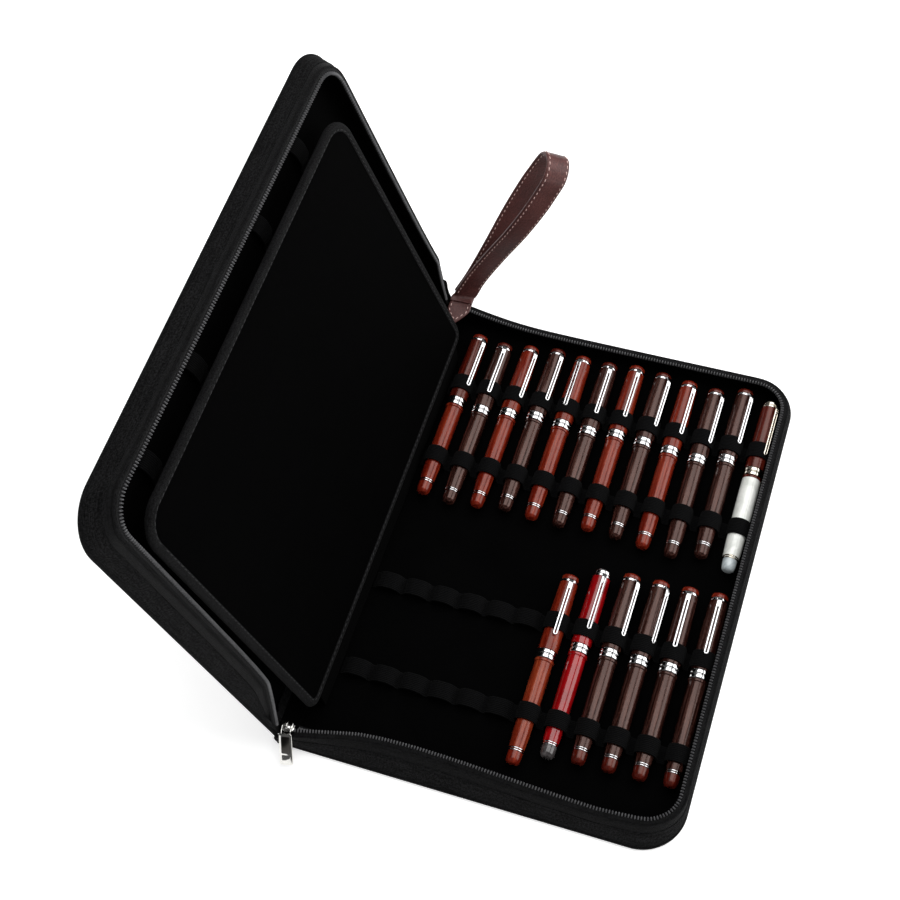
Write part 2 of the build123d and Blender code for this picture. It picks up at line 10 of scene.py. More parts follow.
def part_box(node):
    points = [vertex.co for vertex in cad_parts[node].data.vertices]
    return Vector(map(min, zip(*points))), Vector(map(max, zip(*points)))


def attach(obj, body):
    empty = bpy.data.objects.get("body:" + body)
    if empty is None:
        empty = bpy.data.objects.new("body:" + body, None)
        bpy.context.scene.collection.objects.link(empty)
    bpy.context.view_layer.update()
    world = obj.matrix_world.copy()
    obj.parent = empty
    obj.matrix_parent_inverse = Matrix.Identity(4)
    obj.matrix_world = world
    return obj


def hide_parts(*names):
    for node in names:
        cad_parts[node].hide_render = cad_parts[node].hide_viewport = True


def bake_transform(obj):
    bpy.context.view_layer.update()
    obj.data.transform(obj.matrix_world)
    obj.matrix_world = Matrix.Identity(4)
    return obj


# Looks of a zip-around fountain pen case, standing open. Metres, in the CAD's own frame:
# +X runs from the spine to the fore edge, +Y along the pens towards their caps, +Z is up.
# A piece of the cover or the divider is modelled lying like the base and placed by a matrix.

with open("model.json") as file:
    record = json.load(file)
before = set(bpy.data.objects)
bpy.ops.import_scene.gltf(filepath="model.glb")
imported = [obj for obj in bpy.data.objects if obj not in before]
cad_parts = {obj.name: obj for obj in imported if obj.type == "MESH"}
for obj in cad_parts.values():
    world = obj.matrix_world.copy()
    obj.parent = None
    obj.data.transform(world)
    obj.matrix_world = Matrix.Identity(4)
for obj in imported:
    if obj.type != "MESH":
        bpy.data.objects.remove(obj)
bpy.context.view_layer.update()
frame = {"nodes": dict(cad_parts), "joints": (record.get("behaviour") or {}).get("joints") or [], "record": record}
MM = 0.001

# ---- sizes read from the frame ----
WELT_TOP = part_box("base_edge_piping")[1]
HALF_WIDTH, HALF_LENGTH = WELT_TOP.x, WELT_TOP.y
WELT_RADIUS = WELT_TOP.z / 2
WALL_FOOT = WELT_TOP.z
WALL_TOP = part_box("base_zipper_tape")[0].z
TAPE_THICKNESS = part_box("base_zipper_tape")[1].z - WALL_TOP
TEETH_LOW, TEETH_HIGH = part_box("base_zipper_teeth")
TEETH_HEIGHT = TEETH_HIGH.z - TEETH_LOW.z
PANEL_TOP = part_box("base_canvas_panel")[1].z
LINING_LOW, LINING_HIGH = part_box("base_velvet_lining")
JOINTS = {joint["name"]: joint for joint in frame["joints"]}
BODIES = frame["record"]["behaviour"]["bodies"]
PENS = sorted(body for body in BODIES if body.startswith("pen_"))

# ---- sizes the case was designed with ----
CLOSED_THICKNESS = 48 * MM
FORE_CORNER = 30 * MM
TOP_CORNER = 24 * MM
FOOT_INSET = 1 * MM
# How far the wall's top is drawn in: on the long sides, the fore edge, and at the spine ends, where
# the sides flare out again past FLARE_X. The near side also sways in and out.
SIDE_LEAN = 12.5 * MM
FORE_LEAN = 3 * MM
SPINE_END_LEAN = 1 * MM
FLARE_X = -75 * MM
FLARE_SOFTNESS = 26 * MM
SWAY = 3 * MM
WALL_THICKNESS = 1.2 * MM
WALL_BULGE = 0.9 * MM
WALL_END_HEIGHT = {"base": 12.5 * MM, "cover": 3 * MM}
# Rows of the wall's outer face, and the row where the zipper's band is sewn on.
WALL_ROWS = 12
BAND_ROW = 8
TOP_WELT_RADIUS = 1.25 * MM
PIPING_CORD = 0.3 * MM
TAPE_WIDTH = 4.5 * MM
TEETH_WIDTH = 2.2 * MM
TEETH_PITCH = 2.0 * MM
ROW_START_X = -121 * MM
RAMP_START = (-127 * MM, 4 * MM)
RAMP_END_X = -73 * MM
PEN_PITCH = 20 * MM
FIRST_SLOT_X = -100 * MM
SLOTS = 12
EMPTY_LOWER_SLOTS = 6
PEN_AXIS_Z = 11.2 * MM
ELASTIC = 0.8 * MM
LOOP_RADIUS = {"cap": 7.4 * MM, "barrel": 6.8 * MM}
EMPTY_LOOP = (8.2 * MM, 6.2 * MM)
COVER_LOOP = (8.2 * MM, 3.6 * MM)
FLOOR_PUFF = 0.05 * MM
STRIPS = ("upper_cap", "upper_barrel", "lower_cap", "lower_barrel")
PEN_CLIP_TURNS = (38, 15, 40, 34, -8, 15, 18, 40, 31, 40, 38, 35, 15, 18, 40, 43, 1, 4)
STRAP_ALONG = Vector((0.445, 0.199, 0.873)).normalized()
STRAP_WIDTH_HINT = Vector((0.812, 0.322, -0.487))
STRAP_REACH = 158 * MM
STRAP_WIDTH = 17 * MM
STRAP_THICKNESS = 2.4 * MM
STRAP_LOOP_RADIUS = 15 * MM

# ---- camera, solved for the view wanted ----
CAMERA_AIM = Vector((-95.0, 63.8, 0.0)) * MM
CAMERA_DISTANCE = 1111.8 * MM
CAMERA_AZIMUTH = 28.05
CAMERA_ELEVATION = 59.64
CAMERA_ROLL = -11.12
CAMERA_LENS = 60.97


# ---- placing matrices ----
def turn_about(joint, degrees):
    """Matrix that turns about a hinge joint of the record."""
    pivot = Matrix.Translation(Vector(joint["pos_m"]))
    return pivot @ Matrix.Rotation(math.radians(degrees), 4, Vector(joint["axis"])) @ pivot.inverted()


COVER_OPEN = JOINTS["cover_fold"]["range_deg"][1]
LEAF_OPEN = JOINTS["divider_turn"]["range_deg"][1]
LYING = Matrix.Identity(4)
TURNED_OVER = Matrix.Translation((0, 0, CLOSED_THICKNESS)) @ Matrix.Rotation(math.pi, 4, "X")
COVER_PLACE = turn_about(JOINTS["cover_fold"], -COVER_OPEN) @ TURNED_OVER
LEAF_PLACE = turn_about(JOINTS["divider_turn"], -LEAF_OPEN)


# ---- mesh code ----
WELD_DISTANCE = 1e-7
# A stitch's rings: place along it as a share of its length, then width and lift in thread radii.
STITCH = ((-0.5, 0.35, -0.9), (-0.32, 0.9, 0.0), (0.0, 1.0, 0.25), (0.32, 0.9, 0.0), (0.5, 0.35, -0.9))
STITCH_SLANT = 0.12


def lengths(points):
    """Running length along a list of points."""
    steps = np.linalg.norm(np.diff(points, axis=0), axis=1)
    return np.concatenate([[0.0], np.cumsum(steps)])


def smooth_path(points, count):
    """Evenly spaced points on a Catmull-Rom curve through the given ones."""
    points = np.array(points, float)
    ends = np.vstack([2 * points[0] - points[1], points, 2 * points[-1] - points[-2]])
    dense = []
    for k in range(len(points) - 1):
        a, b, c, d = ends[k:k + 4]
        for t in np.linspace(0, 1, 24, endpoint=False):
            dense.append(0.5 * (2 * b + (c - a) * t + (2 * a - 5 * b + 4 * c - d) * t * t
                                + (3 * b - a - 3 * c + d) * t ** 3))
    dense.append(points[-1])
    return resample(np.array(dense), count)


def resample(points, count):
    """Points at even distances along a polyline."""
    run = lengths(points)
    at = np.linspace(0, run[-1], count)
    return np.stack([np.interp(at, run, points[:, k]) for k in range(points.shape[1])], axis=1)


class Shape:
    """Points, faces, material marks and cloth coordinates of one mesh in the making."""

    def __init__(self):
        self.points, self.faces, self.marks, self.cloth = [], [], [], []

    def grid(self, rows, close_rows=False, close_columns=False, mark=0, caps=False, flat=False):
        """Skin over rows of points, every row the same length; flat cloth keeps its plan's threads."""
        rows = np.array(rows, float)
        n, m = rows.shape[:2]
        if flat:
            cloth = rows.reshape(-1, 3)
        else:
            across = lengths(rows[:, m // 2])
            along = lengths(rows[n // 2])
            cloth = [(along[j], across[i], 0.0) for i in range(n) for j in range(m)]
        faces = []
        for i in range(n if close_rows else n - 1):
            for j in range(m if close_columns else m - 1):
                k, q = (i + 1) % n, (j + 1) % m
                faces.append((i * m + j, i * m + q, k * m + q, k * m + j))
        if caps and close_rows:
            faces.append(tuple(i * m for i in range(n)))
            faces.append(tuple(i * m + m - 1 for i in reversed(range(n))))
        if caps and close_columns:
            faces.append(tuple(reversed(range(m))))
            faces.append(tuple((n - 1) * m + j for j in range(m)))
        start = len(self.points)
        self.points += [tuple(point) for point in rows.reshape(-1, 3)]
        self.faces += [tuple(start + i for i in face) for face in faces]
        self.marks += [mark] * len(faces)
        self.cloth += [tuple(place) for place in cloth]

    def band(self, rows, mark=0):
        """Capped solid whose rows are lines that run along it, such as a swept section's."""
        self.grid(rows, close_rows=True, caps=True, mark=mark)

    def stack(self, rings, mark=0, flat=False):
        """Capped solid whose rows are closed rings."""
        self.grid(rings, close_columns=True, caps=True, mark=mark, flat=flat)

    def build(self, name, materials, body, slot, place=LYING, sharp=50, stands_for=None):
        """Makes the object, with smooth shading broken at sharp edges, and rides it on its body."""
        mesh = bpy.data.meshes.new(name)
        mesh.from_pydata(self.points, [], self.faces)
        cloth = mesh.attributes.new("cloth", "FLOAT_VECTOR", "POINT")
        cloth.data.foreach_set("vector", np.array(self.cloth, np.float32).ravel())
        mesh.polygons.foreach_set("material_index", self.marks)
        mesh.validate()
        weld_and_smooth(mesh, sharp)
        for material in materials:
            mesh.materials.append(material)
        obj = bpy.data.objects.new(name, mesh)
        bpy.context.scene.collection.objects.link(obj)
        obj.matrix_world = place
        if body:
            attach(obj, body)
        if stands_for is not None:
            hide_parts(*stands_for)
        return obj


def weld_and_smooth(mesh, sharp):
    """Joins points that coincide, turns faces outwards, and marks edges over the sharp angle."""
    work = bmesh.new()
    work.from_mesh(mesh)
    bmesh.ops.remove_doubles(work, verts=work.verts, dist=WELD_DISTANCE)
    bmesh.ops.recalc_face_normals(work, faces=work.faces)
    for face in work.faces:
        face.smooth = True
    for edge in work.edges:
        edge.smooth = len(edge.link_faces) != 2 or edge.calc_face_angle(0) < math.radians(sharp)
    work.to_mesh(mesh)
    work.free()


def unit_steps(line):
    """Unit tangent at each point of a line."""
    step = np.gradient(line, axis=0)
    return step / np.linalg.norm(step, axis=1)[:, None]


def frames_along(path, up):
    """Tangent, side and normal at each point of a path; the side is square to the up direction."""
    tangent = unit_steps(np.array(path))
    side = np.cross(np.broadcast_to(np.array(up, float), tangent.shape), tangent)
    side /= np.linalg.norm(side, axis=1)[:, None]
    return tangent, side, np.cross(tangent, side)


def swept(path, up, section):
    """Rows of a closed section (side, normal) carried along a path."""
    _, side, normal = frames_along(path, up)
    return [path + s * side + n * normal for s, n in section]


def circle_section(radius, count):
    """Closed round section."""
    angles = np.linspace(0, 2 * math.pi, count, endpoint=False)
    return [(radius * math.cos(a), radius * math.sin(a)) for a in angles]


def band_section(width, thickness, crown, count=12):
    """Closed section of a strap: crowned faces and rounded edges."""
    half = width / 2
    edge = thickness / 2
    face = [(half - edge) * math.cos(math.pi * k / count) for k in range(count + 1)]
    top = [(x, edge + crown * (1 - (x / half) ** 2)) for x in face]
    arc = [math.radians(a) for a in (60, 30, 0, -30, -60)]
    left = [(-half + edge - edge * math.cos(a), edge * math.sin(a)) for a in arc]
    bottom = [(x, -edge - crown * (1 - (x / half) ** 2)) for x in reversed(face)]
    right = [(half - edge + edge * math.cos(a), edge * math.sin(a)) for a in reversed(arc)]
    return top + left + bottom + right


def add_stitches(shape, path, up, length, gap, radius):
    """A row of thread stitches along a path, each a small slanted bead that dips at both ends."""
    count = max(1, int(lengths(path)[-1] / (length + gap)))
    path = resample(path, 2 * count + 1)
    for centre, t, s, n in list(zip(path, *frames_along(path, up)))[1::2]:
        rings = []
        for along, swell, lift in STITCH:
            middle = centre + along * length * (t + STITCH_SLANT * s) + lift * radius * n
            rings.append([middle + a * s + b * n for a, b in circle_section(radius * swell, 6)])
        shape.stack(rings)


# ---- materials ----
class Look:
    """One node material, with short calls for the nodes this script uses.

    A pattern is a node's output; a number that is the same all over sits on the shader's own socket.
    """

    def __init__(self, name, **values):
        self.material = bpy.data.materials.new(name)
        self.material.use_nodes = True
        self.tree = self.material.node_tree
        self.shader = self.tree.nodes["Principled BSDF"]
        for socket, value in values.items():
            self.shader.inputs[socket.replace("_", " ")].default_value = value

    def node(self, kind, inputs=None, **settings):
        node = self.tree.nodes.new(kind)
        for key, value in settings.items():
            setattr(node, key, value)
        for key, value in (inputs or {}).items():
            if isinstance(value, bpy.types.NodeSocket):
                self.tree.links.new(value, node.inputs[key])
            else:
                node.inputs[key].default_value = value
        return node

    def cloth_space(self):
        return self.node("ShaderNodeAttribute", attribute_name="cloth").outputs["Vector"]

    def object_space(self):
        return self.node("ShaderNodeTexCoord").outputs["Object"]

    def stretched(self, space, scale):
        return self.node("ShaderNodeMapping", {"Vector": space, "Scale": scale}).outputs["Vector"]

    def noise(self, space, scale, detail=4.0, roughness=0.55, distortion=0.0):
        inputs = {"Vector": space, "Scale": scale, "Detail": detail, "Roughness": roughness,
                  "Distortion": distortion}
        return self.node("ShaderNodeTexNoise", inputs).outputs["Fac"]

    def wave(self, space, pitch, direction, distortion=0.0):
        inputs = {"Vector": space, "Scale": math.pi / 10 / pitch, "Distortion": distortion,
                  "Detail": 1.0}
        return self.node("ShaderNodeTexWave", inputs, bands_direction=direction).outputs["Fac"]

    def plus(self, a, b):
        return self.node("ShaderNodeMath", {0: a, 1: b}, operation="ADD").outputs[0]

    def times(self, a, b):
        return self.node("ShaderNodeMath", {0: a, 1: b}, operation="MULTIPLY").outputs[0]

    def mix(self, factor, a, b):
        node = self.node("ShaderNodeMix", data_type="RGBA")
        for index, value in ((0, factor), (6, a), (7, b)):
            if isinstance(value, bpy.types.NodeSocket):
                self.tree.links.new(value, node.inputs[index])
            else:
                node.inputs[index].default_value = value
        return node.outputs[2]

    def spread(self, value, low, high):
        inputs = {"Value": value, "To Min": low, "To Max": high}
        return self.node("ShaderNodeMapRange", inputs).outputs["Result"]

    def colours(self, value, stops):
        ramp = self.node("ShaderNodeValToRGB", {"Fac": value})
        while len(ramp.color_ramp.elements) < len(stops):
            ramp.color_ramp.elements.new(0.5)
        for element, (place, colour) in zip(ramp.color_ramp.elements, stops):
            element.position = place
            element.color = (*colour, 1)
        return ramp.outputs["Color"]

    def paint(self, socket, value):
        self.tree.links.new(value, self.shader.inputs[socket])

    def finish(self, tone, stops, dulling, rough):
        """Colour from a tone and roughness from another pattern; gives the finished material."""
        self.paint("Base Color", self.colours(tone, stops))
        self.paint("Roughness", self.spread(dulling, *rough))
        return self.material

    def bump(self, height, distance, strength=1.0):
        inputs = {"Height": height, "Distance": distance, "Strength": strength}
        self.paint("Normal", self.node("ShaderNodeBump", inputs).outputs["Normal"])


def woven(name, dark, light, pitch, depth, specular=0.12, sheen=0.05):
    """Plain-weave cloth: threads pass over and under, under a nap of short fibres and uneven dye."""
    look = Look(name, Specular_IOR_Level=specular, Sheen_Weight=sheen, Sheen_Roughness=0.45)
    space = look.cloth_space()
    warp = look.wave(space, pitch, "X", 1.2)
    weft = look.wave(space, pitch, "Y", 1.2)
    over = look.node("ShaderNodeTexChecker", {"Vector": space, "Scale": 1 / pitch}).outputs["Fac"]
    thread = look.mix(over, warp, weft)
    wear = look.noise(space, 38, 6)
    slubs = look.noise(look.stretched(space, (0.10, 1.0, 1.0)), 620, 4, 0.7)
    nap = look.spread(look.noise(space, 700, 4, 0.9), -2.0, 3.0)
    fibres = look.noise(space, 3000, 2)
    look.bump(look.plus(look.times(thread, 0.5), look.plus(nap, fibres)), depth)
    dye = look.times(look.spread(wear, 0.5, 1.1), look.spread(slubs, -0.2, 2.1))
    tone = look.times(look.plus(look.times(thread, 0.3), nap), dye)
    return look.finish(tone, [(0.15, dark), (0.9, light)], fibres, (0.78, 0.98))


def velvet(name, dark, light, sheen=0.04):
    """Short pile: fine fibres, faintly brushed in patches."""
    look = Look(name, Specular_IOR_Level=0.01, Sheen_Weight=sheen, Sheen_Roughness=0.6)
    space = look.cloth_space()
    patches = look.noise(space, 22, 4, 0.6, 0.8)
    pile = look.noise(space, 3200, 3)
    tone = look.times(look.spread(patches, 0.4, 1.2), pile)
    look.bump(pile, 0.25 * MM, 0.7)
    return look.finish(tone, [(0.15, dark), (0.7, light)], patches, (0.86, 1.0))


def ribbed(name, dark, light):
    """Elastic webbing: ribs along it, finer crossing threads between them."""
    look = Look(name, Specular_IOR_Level=0.08, Sheen_Weight=0.01, Sheen_Roughness=0.4)
    space = look.cloth_space()
    ribs = look.wave(space, 1.2 * MM, "Y", 0.3)
    threads = look.wave(space, 0.54 * MM, "X", 0.6)
    dye = look.noise(space, 120, 4)
    height = look.plus(ribs, look.times(threads, 0.4))
    look.bump(height, 0.3 * MM)
    tone = look.times(height, look.spread(dye, 0.5, 0.9))
    return look.finish(tone, [(0.1, dark), (0.95, light)], threads, (0.7, 0.92))


def leather(name, dark, light):
    """Smooth dyed leather: pebbled grain, creases and a soft polish."""
    look = Look(name, Specular_IOR_Level=0.5, Coat_Weight=0.12, Coat_Roughness=0.35)
    space = look.cloth_space()
    cells = look.node("ShaderNodeTexVoronoi", {"Vector": space, "Scale": 950.0},
                      feature="SMOOTH_F1").outputs["Distance"]
    folds = look.noise(space, 260, 6, 0.6, 0.5)
    mottle = look.noise(space, 42, 5)
    tone = look.plus(look.times(mottle, 0.75), look.times(cells, 0.45))
    look.bump(look.plus(cells, folds), 0.16 * MM)
    return look.finish(tone, [(0.25, dark), (0.85, light)], mottle, (0.38, 0.62))


def thread(name, colour):
    """Twisted sewing thread, darker between its strands."""
    look = Look(name, Specular_IOR_Level=0.3)
    strands = look.wave(look.object_space(), 0.5 * MM, "DIAGONAL", 0.5)
    shade = [c * 0.45 for c in colour]
    look.bump(strands, 0.1 * MM)
    return look.finish(strands, [(0.1, shade), (0.8, colour)], strands, (0.5, 0.75))


def polished_wood(name, dark, middle, light, grain=1.0):
    """Lacquered wood with grain along the pen, darker pores and a clear coat."""
    look = Look(name, Coat_Weight=0.22, Coat_Roughness=0.04, Specular_IOR_Level=0.55,
                Specular_Tint=(1.0, 0.66, 0.58, 1))
    space = look.object_space()
    along = look.stretched(space, (1.0, 0.04, 1.0))
    figure = look.noise(along, 620 * grain, 5, 0.65, 0.8)
    pores = look.noise(look.stretched(space, (1.0, 0.3, 1.0)), 1500, 3, 0.7)
    tone = look.plus(look.times(figure, 0.75), look.times(pores, 0.3))
    look.bump(pores, 0.1 * MM, 0.8)
    return look.finish(tone, [(0.36, dark), (0.52, middle), (0.68, light)], pores, (0.1, 0.24))


def lacquer(name, base, deep, swirl=60):
    """Cast or lacquered resin with slow colour swirls."""
    look = Look(name, Coat_Weight=0.6, Coat_Roughness=0.03)
    space = look.object_space()
    cloud = look.noise(look.stretched(space, (1.0, 0.5, 1.0)), swirl, 5, 0.6, 2.0)
    specks = look.noise(space, 1500, 2)
    look.bump(specks, 0.02 * MM, 0.3)
    return look.finish(cloud, [(0.35, deep), (0.62, base)], specks, (0.08, 0.18))


def plated(name, colour, rough):
    """Plated metal with hairline scratches and slightly worn patches."""
    look = Look(name, Metallic=1.0)
    space = look.object_space()
    hairlines = look.noise(look.stretched(space, (1.0, 0.06, 1.0)), 2400, 3)
    worn = look.noise(space, 130, 4)
    dull = [c * 0.82 for c in colour]
    look.bump(hairlines, 0.01 * MM, 0.4)
    scuffs = look.times(worn, hairlines)
    return look.finish(worn, [(0.3, dull), (0.6, colour)], scuffs, (rough, rough + 0.25))


def coil_plastic(name, dark, light):
    """Moulded teeth, faintly dusty."""
    look = Look(name, Specular_IOR_Level=0.55)
    dust = look.noise(look.object_space(), 800, 3)
    look.bump(dust, 0.03 * MM)
    return look.finish(dust, [(0.3, dark), (0.7, light)], dust, (0.28, 0.5))


def pale_floor(name):
    """Pale paper with a slight glow of its own, which keeps shadows soft."""
    look = Look(name, Specular_IOR_Level=0.1, Emission_Color=(1, 1, 1, 1), Emission_Strength=FLOOR_GLOW)
    grain = look.noise(look.object_space(), 30, 6)
    return look.finish(grain, [(0.3, (0.86,) * 3), (0.7, (0.9,) * 3)], grain, (0.7, 0.85))


CANVAS = woven("black_canvas", (0.0006, 0.0006, 0.0007), (0.021, 0.021, 0.022),
               1.1 * MM, 0.5 * MM, 0.05, 0.01)
WELT_CLOTH = woven("welt_cloth", (0.0008, 0.0008, 0.0009), (0.011, 0.011, 0.0118),
                   0.9 * MM, 0.3 * MM, 0.06, 0.02)
TAPE_CLOTH = woven("zipper_tape_cloth", (0.0012, 0.0012, 0.0013), (0.0085, 0.0085, 0.0092),
                   0.9 * MM, 0.15 * MM)
BOARD = woven("fibre_board", (0.05, 0.046, 0.04), (0.11, 0.10, 0.09), 0.8 * MM, 0.05 * MM)
VELVET = velvet("lining_velvet", (0.0004, 0.0004, 0.0004), (0.0018, 0.0018, 0.0019), 0.004)
LEAF_VELVET = velvet("divider_velvet", (0.0003, 0.0003, 0.0003), (0.0011, 0.0011, 0.0012), 0.002)
WEBBING = ribbed("elastic_webbing", (0.0006, 0.0006, 0.0007), (0.0042, 0.0042, 0.0046))
COIL = coil_plastic("coil_plastic", (0.045, 0.045, 0.048), (0.12, 0.12, 0.125))
BLACK_THREAD = thread("black_thread", (0.028, 0.028, 0.03))
NICKEL = plated("polished_nickel", (0.74, 0.73, 0.70), 0.08)
SMOKED_NICKEL = plated("smoked_nickel", (0.045, 0.042, 0.038), 0.25)
CHROME = plated("pen_chrome", (0.88, 0.88, 0.89), 0.03)
WARM_METAL = plated("pale_gold", (0.86, 0.80, 0.68), 0.05)
LEATHER = leather("brown_leather", (0.024, 0.0045, 0.004), (0.125, 0.036, 0.031))
LEATHER_THREAD = thread("tan_thread", (0.78, 0.54, 0.49))
ORANGE_WOOD = polished_wood("orange_wood", (0.050, 0.0020, 0.0008), (0.135, 0.0095, 0.0035),
                            (0.26, 0.032, 0.010))
DARK_WOOD = polished_wood("dark_wood", (0.0045, 0.0011, 0.0008), (0.018, 0.0050, 0.0036),
                          (0.075, 0.030, 0.023), 1.3)
RED_BROWN_WOOD = polished_wood("red_brown_wood", (0.020, 0.0014, 0.0008), (0.060, 0.0050, 0.0024),
                               (0.12, 0.016, 0.008))
TAN_WOOD = polished_wood("tan_wood", (0.060, 0.0040, 0.0016), (0.17, 0.018, 0.006),
                         (0.30, 0.055, 0.018))
RED_LACQUER = lacquer("red_lacquer", (0.30, 0.003, 0.005), (0.17, 0.001, 0.002))
IVORY = lacquer("ivory_resin", (0.80, 0.81, 0.77), (0.60, 0.62, 0.58), 90)
PALE_RESIN = lacquer("pale_resin", (0.52, 0.57, 0.58), (0.30, 0.35, 0.37), 140)
SMOKE_RESIN = lacquer("smoke_resin", (0.10, 0.09, 0.09), (0.012, 0.010, 0.010), 200)


# ---- one half of the case ----
def outline(side, fore, end, radius, z, start_x=None, wave=0.0):
    """One half's plan at height z, from the near spine end round to the far one, as (N, 3) points.

    side, fore and end are how far it is drawn in on the long walls, the fore edge and the spine ends.
    """
    start_x = -HALF_WIDTH if start_x is None else start_x
    fore_x = HALF_WIDTH - fore
    half = HALF_LENGTH - side
    rise = (side - end) / (FLARE_X + HALF_WIDTH)
    wall_x = np.linspace(start_x, fore_x - radius, 76, endpoint=False)
    past = FLARE_X - wall_x
    flare = rise * (past + np.hypot(past, FLARE_SOFTNESS)) / 2
    wall = np.column_stack([wall_x, half + flare])
    angles = np.linspace(math.pi / 2, 0, 20, endpoint=False)
    corner = np.stack([fore_x - radius + radius * np.cos(angles),
                       half - radius + radius * np.sin(angles)], axis=1)
    fore_edge = np.linspace((fore_x, half - radius), (fore_x, 0), 36, endpoint=False)
    far = np.vstack([wall, corner, fore_edge])
    near = far * (1, -1)
    plan = np.vstack([near, [(fore_x, 0)], far[::-1]])
    plan[:, 1] += wave * near_sway(plan)
    return np.column_stack([plan, np.full(len(plan), z)])


def near_sway(plan):
    """How the soft near wall wanders in and out along its length, from -1 to 1."""
    x = plan[:, 0] / HALF_WIDTH
    near = np.clip(-plan[:, 1] / HALF_LENGTH * 4 - 2.4, 0, 1)
    fade = np.clip((0.9 - np.abs(x)) * 3.3, 0, 1)
    return near * fade * np.sin(2.5 * (0.15 - x))


def wall_share(x, name):
    """Height of a half's wall at x, as a share of its full height; it runs down at the spine."""
    places = [-HALF_WIDTH, RAMP_START[0]]
    heights = [WALL_END_HEIGHT[name], WALL_TOP]
    if name == "cover":
        places.append(RAMP_END_X)
        heights.insert(1, RAMP_START[1])
    return np.interp(x, places, heights) / WALL_TOP


# A tooth's cross-sections: place across the tape, then half width and height as shares of the pitch
# and of the tooth's height; each section is an arch of (along, up) points.
TOOTH = ((-1.0, 0.16, 0.35), (-0.7, 0.22, 0.75), (0.0, 0.22, 0.9), (0.6, 0.27, 1.0), (1.0, 0.2, 0.6))
TOOTH_ARCH = ((-1, 0.05), (-0.75, 0.75), (0, 1), (0.75, 0.75), (1, 0.05))
# The facing's bow away from the wall in mm, by share of the wall's height.
FACING = ((0.0, -4.2), (0.06, -2.6), (0.2, -1.9), (0.4, -1.8), (0.6, -1.8), (0.8, -1.9), (0.93, -1.9),
          (1.0, -1.6))


